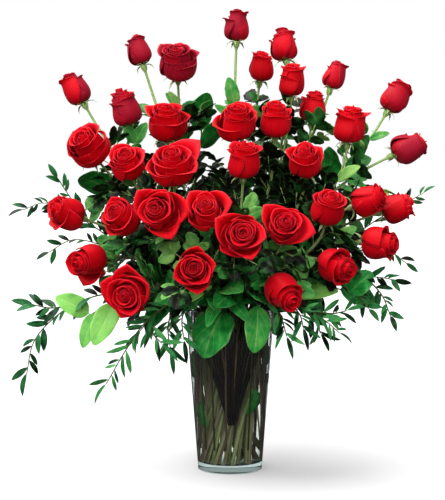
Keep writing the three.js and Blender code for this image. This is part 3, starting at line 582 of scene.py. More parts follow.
LEAVES_PER_STEM = 14
FIRST_LEAF, LAST_LEAF = 0.06, 0.86  # shares of a stem's bend
ROSE_LEAF_LENGTH = 0.088
ROSE_LEAF_RISE = 50  # degrees between leaf and stem
LEAF_ROOM = 0.006  # what a leaf keeps clear of the blooms
HIGHEST_LEAF = 0.622  # above it the stems are bare
BOUQUET_CENTRE = np.array([0.0, 0.0, 0.44])
BOUQUET_REACH = np.array([0.26, 0.20, 0.24])
LEAFLET_PLACES = np.array([0.34, 0.34, 0.62, 0.62, 0.66])  # shares of the stalk where leaflets grow
LEAFLET_TURNS = np.radians([62, -62, 56, -56, 0])  # away from the stalk
LEAFLET_LENGTHS = np.array([0.28, 0.28, 0.34, 0.34, 0.40])  # shares of the whole leaf
LEAFLET_HALF = 0.36  # half its width, as a share of its length
SEPAL_HALF, SEPAL_THICKNESS = 0.0031, 0.0005
SEPAL_ROOT, SEPAL_BELOW = 0.0048, 0.0024  # from the stem's axis, and below the bloom's seat
SEPAL_REACH = 0.34  # share of the bloom's width
SEPAL_DROP, SEPAL_LIFT = 0.012, 0.010  # how far a tip hangs below the seat, and how much less if it is lifted
SEPALS_LIFTED = 0.3  # share of the sepals
LEAF_THICKNESS = 0.0004
STALK_RADIUS, STALK_SIDES = 0.0008, 4
# How a leaf's width grows from its base and falls to its tip, and the share of its length that is stalk.
SEPAL_OUTLINE, LEAFLET_OUTLINE, SINGLE_OUTLINE = (0.22, 1.1), (0.5, 0.62, 0.04), (0.5, 0.62, 0.06)


def outline(t, base, tip, stalk=0.0, stalk_width=0.0):
    """A leaf's width at the share t of its length: x**base * (1 - x)**tip, brought to a greatest width of 1,
    where x is the share beyond the stalk, and the stalk's own width on the first tenth."""
    x = ((t - stalk) / (1 - stalk)).clip(0, 1)
    widest = base / (base + tip)
    return x**base * (1 - x) ** tip / (widest**base * (1 - widest) ** tip) + stalk_width * (t < 0.1)


def blades(root, tip, up, half, shape, rows, columns, arch, fold, wave=0.0, teeth=0.0):
    """n thin leaves from root to tip. At the share t of its length a leaf is outline(t) * half wide either
    side of its rib. The rib bows up by arch * length, and each side lifts by fold times its distance from the
    rib. The margin waves by wave * half, and teeth cuts every second edge point back by that share."""
    t = ((1 - np.cos(np.linspace(0, np.pi, rows))) / 2)[None, :, None]
    s = np.linspace(-1, 1, columns)[None, None, :]
    length = np.linalg.norm(tip - root, axis=-1)[:, None, None]
    along = unit(tip - root)
    side = unit(np.cross(along, up))
    normal = np.cross(side, along)
    half = np.broadcast_to(half, len(root))[:, None, None]
    notch = 1 - teeth * (abs(s) == 1) * (np.arange(rows) % 2)[None, :, None]
    out = half * outline(t, *shape) * notch * s
    phase = rng.random((len(root), 1, 1)) * 2 * np.pi
    lift = length * arch * 4 * t * (1 - t) + fold * abs(out)
    lift = lift + wave * half * s**2 * np.sin(5 * np.pi * t + phase + s) * np.sin(np.pi * t)
    steps = (along, length * t + 0 * s, side, out, normal, lift + 0 * s)
    pairs = zip(steps[::2], steps[1::2])
    return root[:, None, None] + sum(axis[:, None, None] * step[..., None] for axis, step in pairs)


def first_clear(roots, tips):
    """Of several tips tried for each root, tips[n, tries, xyz], the first whose leaf keeps clear of the round
    room that each bloom takes, or else the clearest. Returns its number and its clearance."""
    shares = np.array([0.35, 0.7, 1.0])[:, None]  # the points of a leaf that are tried
    points = roots[:, None, None] + (tips - roots[:, None])[:, :, None] * shares
    gaps = np.linalg.norm(points[..., None, :] - bloom_at, axis=-1) - bloom_across / 2
    room = gaps.min(-1).min(-1)
    chosen = np.where((room > LEAF_ROOM).any(1), (room > LEAF_ROOM).argmax(1), room.argmax(1))
    return chosen, room[np.arange(len(room)), chosen]


def nearest(paths, near):
    """For each point of near, the closest point of the paths."""
    spots = paths.reshape(-1, 3)
    return spots[np.linalg.norm(near[:, None] - spots, axis=-1).argmin(1)]


def place_leaves(paths, shares, rise, lengths):
    """Where leaves stand on n paths of m points: the path, root, direction, upper side and length of each.
    They grow at the shares of every path, rise degrees away from it, turned round it by the golden angle, and
    then on by 40 degrees until they are clear of the blooms. Those that have no room, or stand too high, are
    left out."""
    n, count = len(paths), len(shares)
    step = 1 + (shares * (paths.shape[1] - 3)).astype(int)
    roots = paths[:, step].reshape(-1, 3)
    along = unit(paths[:, step + 1] - paths[:, step - 1]).reshape(-1, 3)
    path, spot = np.divmod(np.arange(n * count), count)
    turn = np.radians(GOLDEN_ANGLE * (path + 3 * spot)[:, None] + 40 * np.arange(9))[..., None]
    level = np.broadcast_to([1.0, 0.0, 0.0], along.shape)
    x = unit(level - dot(level, along) * along)
    y = np.cross(along, x)
    across = x[:, None] * np.cos(turn) + y[:, None] * np.sin(turn)
    directions = across * np.sin(np.radians(rise)) + along[:, None] * np.cos(np.radians(rise))
    chosen, room = first_clear(roots, roots[:, None] + directions * lengths[:, None])
    direction = directions[np.arange(len(roots)), chosen]
    up = unit(along - dot(along, direction) * direction)
    keep = (room > 0) & (roots[:, 2] < HIGHEST_LEAF)
    return path[keep], roots[keep], direction[keep], up[keep], lengths[keep]


def compound_leaves(roots, direction, up, lengths):
    """Leaflets and stalks. A leaflet's root lies on the straight stalk at its own share, and it points away
    from the stalk by its own turn and hangs a little."""
    side = np.cross(direction, up)
    run = (direction * lengths)[:, None]
    leaflet_root = roots[:, None] + run * LEAFLET_PLACES[:, None]
    onward, sideways = np.cos(LEAFLET_TURNS)[:, None], np.sin(LEAFLET_TURNS)[:, None]
    points_to = direction[:, None] * onward + side[:, None] * sideways
    # Each is a little off by chance.
    points_to = points_to + 0.16 * rng.normal(size=points_to.shape) - 0.12 * UP
    leaflet_tip = leaflet_root + unit(points_to) * lengths[:, None] * LEAFLET_LENGTHS[:, None]
    half = (lengths * LEAFLET_LENGTHS * LEAFLET_HALF).ravel()
    leaflet_up = np.broadcast_to(up[:, None], leaflet_tip.shape).reshape(-1, 3)
    leaflet_up = leaflet_up + 0.25 * rng.normal(size=leaflet_up.shape)
    leaflets = blades(
        leaflet_root.reshape(-1, 3), leaflet_tip.reshape(-1, 3), leaflet_up, half, LEAFLET_OUTLINE, 11, 5,
        arch=0.05, fold=0.22, wave=0.05, teeth=0.13,
    )
    stalk = roots[:, None] + run * np.linspace(0, LEAFLET_PLACES[-1] + 0.01, 4)[:, None]
    return leaflets.reshape(len(roots), -1, *leaflets.shape[1:]), stalk


def place_sepals():
    """Five sepals to a bloom, from the hip out and down, 72 degrees apart."""
    angle = (bloom_spin[:, None] + np.radians(72) * np.arange(5))[..., None]
    out = bloom_x[:, None] * np.cos(angle) + bloom_y[:, None] * np.sin(angle)
    face = bloom_faces[:, None]
    roots = bloom_seat[:, None] + out * SEPAL_ROOT - face * SEPAL_BELOW
    reach = (bloom_across[:, None, None] * SEPAL_REACH) * (0.9 + 0.2 * rng.random((len(roses), 5, 1)))
    drop = SEPAL_DROP - SEPAL_LIFT * (rng.random((len(roses), 5, 1)) < SEPALS_LIFTED)
    tips = bloom_seat[:, None] + out * reach - face * drop
    up = np.broadcast_to(face, tips.shape)
    return blades(
        roots.reshape(-1, 3), tips.reshape(-1, 3), up.reshape(-1, 3), SEPAL_HALF, SEPAL_OUTLINE, 8, 5,
        arch=0.22, fold=0.15, wave=0.1,
    )


def leaf_skin(name, deep, green, fresh, vein, pairs, slant, gloss):
    """A leaf's waxy skin. Its colour goes from deep through green to fresh with the leaf's own tone and in
    soft patches. Where deep is near-black, it is painted shade. A pale rib sends pairs of pale side veins
    out at a slant, sunk in the blade, and the margin is pale too."""
    material, tree, shader = new_material(
        name, Roughness=gloss, Specular_IOR_Level=0.3, Subsurface_Weight=0.05, Subsurface_Scale=0.002,
        Subsurface_Radius=(0.4, 1.0, 0.2),
    )
    coordinates = add(tree, "TexCoord").outputs
    shares = add(tree, "SeparateXYZ", {0: coordinates["UV"]}).outputs
    tone = add(tree, "Attribute", attribute_name="tone").outputs["Fac"]
    # Patches of about 17 mm.
    patches = add(tree, "TexNoise", {"Vector": coordinates["Object"], "Scale": 60.0, "Detail": 2.0})
    patch_share = add(tree, "MapRange", {0: patches, 1: 0.3, 2: 0.7, 3: -0.18, 4: 0.18})
    freshness = add(tree, "Math", {0: tone, 1: patch_share}, operation="ADD")
    lower = add(tree, "MapRange", {0: freshness, 1: 0.0, 2: 0.5})
    upper = add(tree, "MapRange", {0: freshness, 1: 0.5, 2: 1.0})

    # Side veins 4 mm apart on a rose leaflet and 11 mm on a salal leaf. A ruscus leaf shows none.
    off_rib = add(tree, "Math", {0: shares["X"], 1: 2.0, 2: -1.0}, operation="MULTIPLY_ADD")
    off_rib = add(tree, "Math", {0: off_rib}, operation="ABSOLUTE")
    run = add(tree, "Math", {0: off_rib, 1: -slant, 2: shares["Y"]}, operation="MULTIPLY_ADD")
    waves = add(tree, "Math", {0: run, 1: float(pairs)}, operation="MULTIPLY")
    near_vein = add(tree, "Math", {0: waves, 1: 0.5}, operation="PINGPONG")
    side_veins = add(tree, "MapRange", {0: near_vein, 1: 0.0, 2: 0.1, 3: 0.7, 4: 0.0})
    rib = add(tree, "MapRange", {0: off_rib, 1: 0.02, 2: 0.09, 3: 1.0, 4: 0.0})
    veins = add(tree, "Math", {0: side_veins, 1: rib}, operation="MAXIMUM")
    margin = add(tree, "MapRange", {0: off_rib, 1: 0.86, 2: 0.96})
    pale = add(tree, "Math", {0: veins, 1: margin}, operation="MAXIMUM")
    contrast = add(tree, "MapRange", {0: freshness, 1: 0.1, 2: 0.7, 3: 0.05, 4: 0.6})
    vein_share = add(tree, "Math", {0: pale, 1: contrast}, operation="MULTIPLY")

    colour = deep
    for share, tint in ((lower, green), (upper, fresh), (vein_share, vein)):
        colour = add(tree, "Mix", {0: share, 6: colour, 7: tint}, data_type="RGBA")
    bump = add(tree, "Bump", {"Strength": 0.5, "Distance": 0.0005, "Height": veins}, invert=True)
    connect(shader, {"Base Color": colour, "Normal": bump})
    return material


sepal_skin = leaf_skin("rose sepal", "#4d7a34", "#86aa58", "#c8d89a", "#d5e0b0", 3, 0.2, 0.55)
sepals = place_sepals()
make_piece(
    "sepals", [sepals], sepal_skin, [rng.random(len(sepals))], SEPAL_THICKNESS
)
# The rose leaf's deep colour is near-black: painted shade.
rose_leaf_skin = leaf_skin("rose leaf", "#010301", "#38923e", "#98cc6a", "#98c872", 7, 0.35, 0.5)
leaf_shares = np.linspace(FIRST_LEAF, LAST_LEAF, LEAVES_PER_STEM)
leaf_lengths = ROSE_LEAF_LENGTH * (0.8 + 0.35 * rng.random((len(roses) * LEAVES_PER_STEM, 1)))
leaf_stem, *leaf_places = place_leaves(bend, leaf_shares, ROSE_LEAF_RISE, leaf_lengths)
leaflets, stalks = compound_leaves(*leaf_places)
# Most leaves are dark and a few fresh, by chance, and in the bouquet's depth all are near-black: painted
# shade.
depth = np.linalg.norm((leaf_places[0] - BOUQUET_CENTRE) / BOUQUET_REACH, axis=1)
leaf_tones = (1.6 * rng.random(len(stalks)) - 0.4).clip(0, 1) ** 1.5 * ((depth - 0.5) / 0.35).clip(0, 1)
for sheaf in range(len(SHEAVES)):
    grown = leaf_stem // 4 == sheaf
    make_piece(
        f"rose_leaflets_{sheaf + 1}", [leaflets[grown].reshape(-1, *leaflets.shape[2:])], rose_leaf_skin,
        [np.repeat(leaf_tones[grown], len(LEAFLET_PLACES))], LEAF_THICKNESS,
    )
    make_piece(
        f"rose_leaf_stalks_{sheaf + 1}", [tubes(stalks[grown], STALK_RADIUS, STALK_SIDES)], rose_bark,
    )


FACING = np.array([0.0, -0.9, 0.45])  # forward and up, the way that leaves in front show their upper faces
# Single leaves that stand out between the blooms: near which point each grows on the nearest stem, which way
# and how far it reaches, its width and its tone.
SINGLE_LEAVES = [
    ((0.012, 0.040, 0.628), (-0.012, -0.010, 0.054), 0.026, 0.55),
    ((-0.030, 0.000, 0.598), (-0.036, -0.020, 0.030), 0.018, 0.60),
    ((0.211, 0.090, 0.597), (0.036, -0.010, 0.012), 0.016, 0.60),
    ((0.185, 0.000, 0.505), (0.038, -0.030, 0.026), 0.022, 0.90),
    ((0.175, -0.060, 0.385), (0.034, -0.020, 0.028), 0.024, 0.65),
    ((0.200, 0.060, 0.535), (0.048, -0.010, 0.020), 0.032, 0.30),
    ((0.205, 0.060, 0.545), (0.026, -0.030, 0.044), 0.030, 0.20),
    ((0.195, 0.050, 0.530), (0.034, -0.030, -0.016), 0.028, 0.40),
    ((-0.110, -0.060, 0.375), (-0.024, -0.020, 0.022), 0.028, 0.20),
    ((-0.185, 0.060, 0.560), (-0.020, -0.010, 0.040), 0.022, 0.45),
    ((-0.150, 0.050, 0.570), (0.022, -0.010, 0.038), 0.024, 0.50),
    ((0.140, 0.050, 0.590), (0.024, -0.010, 0.036), 0.024, 0.45),
    ((-0.205, -0.030, 0.400), (-0.040, -0.020, 0.012), 0.026, 0.50),
    ((-0.200, -0.050, 0.480), (-0.040, -0.020, 0.030), 0.026, 0.35),
    ((-0.114, 0.040, 0.619), (-0.024, -0.010, 0.028), 0.018, 0.60),
    ((-0.095, 0.040, 0.626), (-0.019, -0.010, 0.031), 0.014, 0.80),
    ((-0.064, 0.040, 0.623), (0.031, -0.010, 0.012), 0.014, 0.35),
    ((0.043, 0.040, 0.626), (-0.014, -0.010, 0.017), 0.014, 0.40),
    ((0.086, 0.040, 0.626), (-0.017, -0.010, 0.028), 0.020, 0.05),
]


near, reach, width, single_tones = (np.array(column) for column in zip(*SINGLE_LEAVES))
root = nearest(bend, near)
facing = np.broadcast_to(FACING, root.shape)
single = blades(
    root, root + reach, facing, width / 2, SINGLE_OUTLINE, 17, 7, arch=0.10, fold=0.2, wave=0.08, teeth=0.05
)
make_piece(
    "rose_leaves_single", [single], rose_leaf_skin, [single_tones], LEAF_THICKNESS
)


# ---------------- the salal
# Woody branches with broad, leathery, glossy oval leaves up to 74 mm wide. One hangs over the front rim, one
# lies out at each side and two stand at the back. More stand among the rose stems and fill the bouquet.

GREEN_FOOT = 0.040  # height of a branch's cut end, which stands against the glass
GREEN_FROM_GLASS = 0.0039
TWIG_RADIUS, TWIG_TIP_RADIUS, TWIG_SIDES = 0.0017, 0.0009, 7
SALAL_OUTLINE = (0.42, 0.62, 0.08)
# For each branch: the way it leaves the vase, which way its leaves face (None is outwards and up), the points
# its stem runs through beyond the rim, its leaves, and a fork with its place on that run, its own run and its
# leaves. A leaf is where on the run it grows, its tip, its width, and its tone from 0, dark, to 1, fresh.
SALAL = {
    "salal_front": (
        263, None, [(-0.008, -0.092, 0.300), (-0.020, -0.112, 0.322), (-0.030, -0.135, 0.335)],
        [
            (0.08, (-0.044, -0.098, 0.205), 0.074, 0.42),
            (0.50, (-0.038, -0.150, 0.262), 0.024, 0.55),
            (0.62, (0.030, -0.150, 0.270), 0.027, 0.30),
            (0.95, (-0.072, -0.165, 0.300), 0.026, 1.00),
        ],
        (
            0.20, [(0.022, -0.104, 0.308), (0.048, -0.108, 0.296)],
            [(0.95, (0.039, -0.118, 0.216), 0.045, 0.60)],
        ),
    ),
    "salal_left": (
        205, FACING,
        [(-0.088, -0.050, 0.300), (-0.150, -0.066, 0.306), (-0.205, -0.076, 0.292), (-0.238, -0.080, 0.274)],
        [
            (0.30, (-0.140, -0.104, 0.250), 0.034, 0.30),
            (0.40, (-0.128, -0.088, 0.372), 0.034, 0.40),
            (0.62, (-0.222, -0.046, 0.334), 0.038, 0.45),
            (0.74, (-0.226, -0.112, 0.228), 0.042, 1.00),
            (0.93, (-0.246, -0.098, 0.222), 0.028, 0.85),
            (0.98, (-0.292, -0.086, 0.306), 0.038, 0.95),
        ],
        None,
    ),
    "salal_right": (
        337, FACING,
        [(0.090, -0.052, 0.302), (0.125, -0.078, 0.322), (0.170, -0.066, 0.322), (0.205, -0.058, 0.308)],
        [
            (0.30, (0.178, -0.118, 0.318), 0.036, 1.00),
            (0.50, (0.150, -0.112, 0.262), 0.030, 0.25),
            (0.66, (0.166, -0.020, 0.372), 0.032, 0.50),
            (0.85, (0.250, -0.036, 0.290), 0.040, 0.30),
            (0.97, (0.240, -0.066, 0.346), 0.042, 0.40),
        ],
        None,
    ),
    "salal_back_left": (
        112, None,
        [(-0.038, 0.092, 0.305), (-0.058, 0.128, 0.390), (-0.062, 0.138, 0.490), (-0.050, 0.112, 0.595)],
        [
            (0.05, (-0.022, 0.150, 0.222), 0.054, 0.50),
            (0.30, (0.020, 0.165, 0.395), 0.046, 0.20),
            (0.46, (-0.112, 0.190, 0.440), 0.048, 0.30),
            (0.60, (0.012, 0.180, 0.512), 0.046, 0.15),
            (0.74, (-0.130, 0.150, 0.575), 0.046, 0.35),
            (0.88, (0.020, 0.140, 0.622), 0.042, 0.25),
            (0.97, (-0.042, 0.055, 0.655), 0.046, 0.45),
        ],
        (
            0.26, [(-0.135, 0.125, 0.405), (-0.200, 0.070, 0.480)],
            [
                (0.40, (-0.175, 0.190, 0.352), 0.048, 0.30),
                (0.70, (-0.238, 0.130, 0.430), 0.044, 0.40),
                (0.97, (-0.262, 0.008, 0.505), 0.046, 0.35),
            ],
        ),
    ),
    "salal_back_right": (
        52, None,
        [(0.056, 0.088, 0.302), (0.096, 0.128, 0.366), (0.136, 0.122, 0.440), (0.168, 0.066, 0.505)],
        [
            (0.06, (0.084, 0.122, 0.218), 0.052, 0.40),
            (0.30, (0.048, 0.190, 0.385), 0.046, 0.25),
            (0.45, (0.185, 0.175, 0.352), 0.048, 0.35),
            (0.62, (0.092, 0.178, 0.500), 0.046, 0.15),
            (0.80, (0.228, 0.120, 0.462), 0.044, 0.30),
            (0.97, (0.176, 0.002, 0.556), 0.046, 0.35),
        ],
        None,
    ),
}


def along_path(path, shares, steps=None):
    """Points of a path at shares of its length. steps says at which shares its own points lie, if not
    evenly."""
    steps = np.linspace(0, 1, len(path)) if steps is None else steps
    return np.stack([np.interp(shares, steps, path[:, axis]) for axis in range(3)], -1)


def smooth_path(points, count=33):
    """A smooth curve through points, evenly divided. Between two of them it is the cubic that leaves along
    the mean of the lines that meet there, and the ends run straight on."""
    points = np.array(points, float)
    gaps = np.linalg.norm(np.diff(points, axis=0), axis=1)
    at = np.concatenate([[0], np.cumsum(gaps)])
    slopes = np.gradient(points, at, axis=0)
    fine = np.linspace(0, at[-1], 200)
    k = np.searchsorted(at, fine, side="right").clip(1, len(at) - 1)
    width = (at[k] - at[k - 1])[:, None]
    x = (fine - at[k - 1])[:, None] / width
    curve = (
        (2 * x**3 - 3 * x**2 + 1) * points[k - 1] + (x**3 - 2 * x**2 + x) * width * slopes[k - 1]
        + (3 * x**2 - 2 * x**3) * points[k] + (x**3 - x**2) * width * slopes[k]
    )
    run = np.concatenate([[0], np.cumsum(np.linalg.norm(np.diff(curve, axis=0), axis=1))])
    return along_path(curve, np.linspace(0, run[-1], count), run)


def green_path(exit_angle, run):
    """A branch's foot against the glass, and its run from just inside the rim."""
    foot_radius = inner_radius(GREEN_FOOT) - GREEN_FROM_GLASS
    mouth_radius = inner_radius(VASE_HEIGHT) - 1.5 * GREEN_FROM_GLASS
    way = turned(np.array([1.0, 0.0, 0.0]), exit_angle)
    foot = way * foot_radius + UP * GREEN_FOOT
    mouth = way * mouth_radius + UP * (VASE_HEIGHT + 0.002)
    return foot, smooth_path([mouth, *run])


def branch(foot, run):
    """A thin tapered stem from its foot through its run."""
    path = np.concatenate([[foot], run])[None]
    return tubes(path, np.linspace(TWIG_RADIUS, TWIG_TIP_RADIUS, path.shape[1]), TWIG_SIDES)


def salal_leaves(run, leaves, faces):
    """The leaves of one branch and their tones. A leaf faces the given way, or else outwards and up, and
    straight up where it points the way that it would face."""
    share, tip, width, tone = (np.array(column) for column in zip(*leaves))
    root, half = along_path(run, share), width / 2
    outward = (root + tip) * [1, 1, 0]
    up = unit(unit(outward) * 0.8 + UP * 0.7 if faces is None else faces + 0 * root)
    steep = abs(dot(unit(tip - root), up)) > 0.93
    up = np.where(steep, UP, up)
    shape = (*SALAL_OUTLINE, 0.05)  # with a stalk a twentieth as wide as the leaf
    return blades(root, tip, up, half, shape, 27, 11, arch=0.09, fold=0.16, wave=0.10), tone


# The salal leaf's deep colour is near-black: painted shade.
salal_skin = leaf_skin("salal leaf", "#010401", "#22a03e", "#82c658", "#a0d680", 6, 0.42, 0.34)
salal_bark = bark("salal bark", "#120904", "#a08c78", "#4a4a24")
# Near-black bark for the middle and fan branches: painted shade inside the bunch of stems.
shade_dark_bark = bark("near-black salal bark, painted shade", "#030101", "#7c6848", "#2a2a14")
for name, (exit_angle, faces, run, leaves, fork) in SALAL.items():
    foot, path = green_path(exit_angle, run)
    grown = [salal_leaves(path, leaves, faces)]
    stems = [branch(foot, path)]
    if fork:
        fork_from, fork_run, fork_leaves = fork
        fork_path = smooth_path([along_path(path, fork_from), *fork_run])
        grown.append(salal_leaves(fork_path, fork_leaves, None))
        stems.append(branch(fork_path[0], fork_path[1:]))
    sheets, tones = zip(*grown)
    piece = make_piece(f"{name}_leaves", sheets, salal_skin, tones, LEAF_THICKNESS)
    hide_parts(name)
    make_piece(f"{name}_twigs", stems, salal_bark)

# More branches fill the vase and the bouquet from inside. Some stand bunched in the middle, where they pass
# each other in a narrow waist. Others stand in a ring between the rose stems and the glass, with a few leaves
# under water. In front a fan of woody ones is wedged between the glass and the rose stems, on which it rests.
# The middle and fan twigs are near-black, painted shade for the shaded middle of the stem bundle. Steps such
# as i * 0.618 % 1 spread a measure evenly from 0 to 1, so that neighbours differ.
MIDDLE_BRANCHES, RING_BRANCHES = 18, 22
MIDDLE_SHARES = np.linspace(0.08, 0.98, 8)  # where on the bend leaves grow
RING_SHARES = np.linspace(0.15, 0.98, 5)
RING_HALF_ANGLE = 55  # degrees either side of the vase's left and right
MIDDLE_FOOT = 0.078  # the middle ones are cut short and held in the waist by the rose stems
MIDDLE_WAIST_HEIGHT, RING_WAIST_HEIGHT = 0.087, 0.110
FAN_BRANCHES, FAN_SHARES = 28, np.array([0.45, 0.75, 0.98])
FAN_FOOT = np.array([0.002, -0.037, 0.083])
FAN_HALF_ANGLE = 66  # degrees either side of the front, at the rim
FAN_LAYER = 0.0036  # between its two layers
FAN_FROM_GLASS = 0.0075
FILLING_LEAF_LENGTH, FILLING_LEAF_WIDTH, WET_LEAF_LENGTH = 0.066, 0.040, 0.050
FILLING_STEM_RADIUS = 0.0016
FILLING_PULL = 0.33  # as BEND_PULL


def arch_out(standing, reach, height):
    """Curves that carry straight stems on from the rim, out by reach and up to height."""
    mouth = standing[:, -1]
    end = unit(mouth * [1, 1, 0]) * reach[:, None] + UP * height[:, None]
    return bends(mouth, unit(mouth - standing[:, -2]), end, unit(end - mouth), FILLING_PULL, 20)


def filling_leaves(name, roots, directions, ups, lengths, tones):
    """The leaves of the filling branches, plainer than the others because there are many."""
    half = FILLING_LEAF_WIDTH / 2 * (lengths / FILLING_LEAF_LENGTH)[:, 0]
    leaves = blades(
        roots, roots + directions * lengths, ups, half, SALAL_OUTLINE, 13, 5, arch=0.09, fold=0.16, wave=0.10
    )
    make_piece(name, [leaves], salal_skin, [tones], LEAF_THICKNESS)


def filling_piece(name, standing, arching, shares, rise, skin, tones, leaf_tones):
    """The twigs of some filling branches, and the leaves on their upper parts."""
    lengths = FILLING_LEAF_LENGTH * (0.75 + 0.4 * rng.random((len(arching) * len(shares), 1)))
    _, *places = place_leaves(arching, shares, rise, lengths)
    # Painted shade: the filling leaves are no brighter than leaf_tones, which is lowest in the middle of the
    # bouquet.
    filling_leaves(f"{name}_leaves", *places, leaf_tones * rng.random(len(places[0])) ** 2)
    stems = tubes(np.concatenate([standing, arching], 1), FILLING_STEM_RADIUS, TWIG_SIDES)
    make_piece(f"{name}_twigs", [stems], skin, [tones])


# In the middle, the more a branch leans the further out and the lower it ends. lean is metres sideways per
# metre of height, and waist how far from the axis a branch passes.
i = np.arange(MIDDLE_BRANCHES)
lean = 0.06 + 0.13 * ((i * 0.618) % 1)
reach = 0.04 + 0.75 * (lean - 0.06)
waist = 0.0022 + 0.0040 * np.sqrt((i + 0.5) / MIDDLE_BRANCHES)
standing = standing_stems(MIDDLE_FOOT, waist, MIDDLE_WAIST_HEIGHT, lean, GOLDEN_ANGLE * i)
arching = arch_out(standing, reach, 0.50 - 0.9 * reach)
# The middle twigs are near-black and their leaves the darkest of all: painted shade in the middle of the
# bouquet.
tones = 0.3 * rng.random(MIDDLE_BRANCHES)
filling_piece("salal_middle", standing, arching, MIDDLE_SHARES, 58, shade_dark_bark, tones, 0.25)

i = np.arange(RING_BRANCHES)
lean = (0.06 + 0.14 * ((i * 0.618) % 1)) * np.where(i % 2, 1, -1)
reach = 0.12 + 0.06 * ((i * 0.381) % 1)
waist = 0.040 + 0.008 * ((i * 0.724) % 1)
turn = 180 * (i % 2) + RING_HALF_ANGLE * (2 * (i // 2) / (RING_BRANCHES // 2 - 1) - 1)
ring = standing_stems(FOOT_OF_STEM, waist, RING_WAIST_HEIGHT, lean, turn)
clear_of_fan = ring[:, 12, 1] > -0.028  # behind it, halfway up the vase
ring, reach = ring[clear_of_fan], reach[clear_of_fan]
arching = arch_out(ring, reach, 0.46 - 0.8 * reach)
tones = 0.4 + 0.6 * rng.random(len(ring))
filling_piece("salal_ring", ring, arching, RING_SHARES, 55, salal_bark, tones, 0.45)
# Leaves under water: near which point each grows on the nearest branch of the ring, and how far it reaches.
near, leaf_reach = np.array([
    ((0.046, -0.026, 0.142), (-0.012, -0.014, -0.046)),
    ((-0.046, -0.020, 0.130), (0.006, -0.012, -0.050)),
    ((-0.048, -0.006, 0.215), (-0.006, -0.010, -0.052)),
    ((0.052, -0.006, 0.225), (0.002, -0.010, -0.052)),
    ((-0.020, 0.045, 0.200), (0.014, 0.002, -0.050)),
    ((0.024, 0.045, 0.170), (0.012, 0.002, -0.050)),
]).transpose(1, 0, 2)
wet = nearest(ring, near)
lengths, tones = np.full((len(wet), 1), WET_LEAF_LENGTH), 0.35 + 0.2 * rng.random(len(wet))
filling_leaves("salal_wet_leaves", wet, unit(leaf_reach), unit(wet * [1, 1, 0]), lengths, tones)

i = np.arange(FAN_BRANCHES)
layer = FAN_LAYER * (i % 2)
spread = np.radians(FAN_HALF_ANGLE * np.linspace(-1, 1, FAN_BRANCHES))
foot = FAN_FOOT + np.stack([0.004 * np.sin(spread), -layer, 0.012 * rng.random(FAN_BRANCHES)], -1)
rim_radius = inner_radius(VASE_HEIGHT) - FAN_FROM_GLASS + layer
mouth = np.stack([rim_radius * np.sin(spread), -rim_radius * np.cos(spread), 0 * layer + VASE_HEIGHT], -1)
fan = foot[:, None] + (mouth - foot)[:, None] * np.linspace(0, 1, 9)[:, None]
arching = arch_out(fan, 0.105 + 0.035 * ((i * 0.618) % 1), 0.302 + 0.045 * ((i * 0.382) % 1))
# The fan's twigs are near-black, painted shade where the middle of the stem bundle shows, and a few are pale.
tones = 0.04 * rng.random(FAN_BRANCHES) + 0.9 * (i % 6 == 4)  # dark, and a few pale ones
filling_piece("salal_fan", fan, arching, FAN_SHARES, 50, shade_dark_bark, tones, 0.60)


# ---------------- the ruscus
# Long, thin, arching twigs with narrow, pointed, dark leaves: two sprays at each side, two in front and two
# behind. They lean out over the rim, and the low ones trail down in curves.

RUSCUS_SPREAD, RUSCUS_ROLL = 42, 35  # degrees from the twig, and round it
RUSCUS_OUTLINE = (0.75, 0.85, 0.03)
# A leaf's length, its half width as a share of that, and the brightest tone.
OVAL, SMALL, GRASSY = (0.040, 0.15, 0.45), (0.031, 0.16, 0.45), (0.042, 0.10, 0.90)
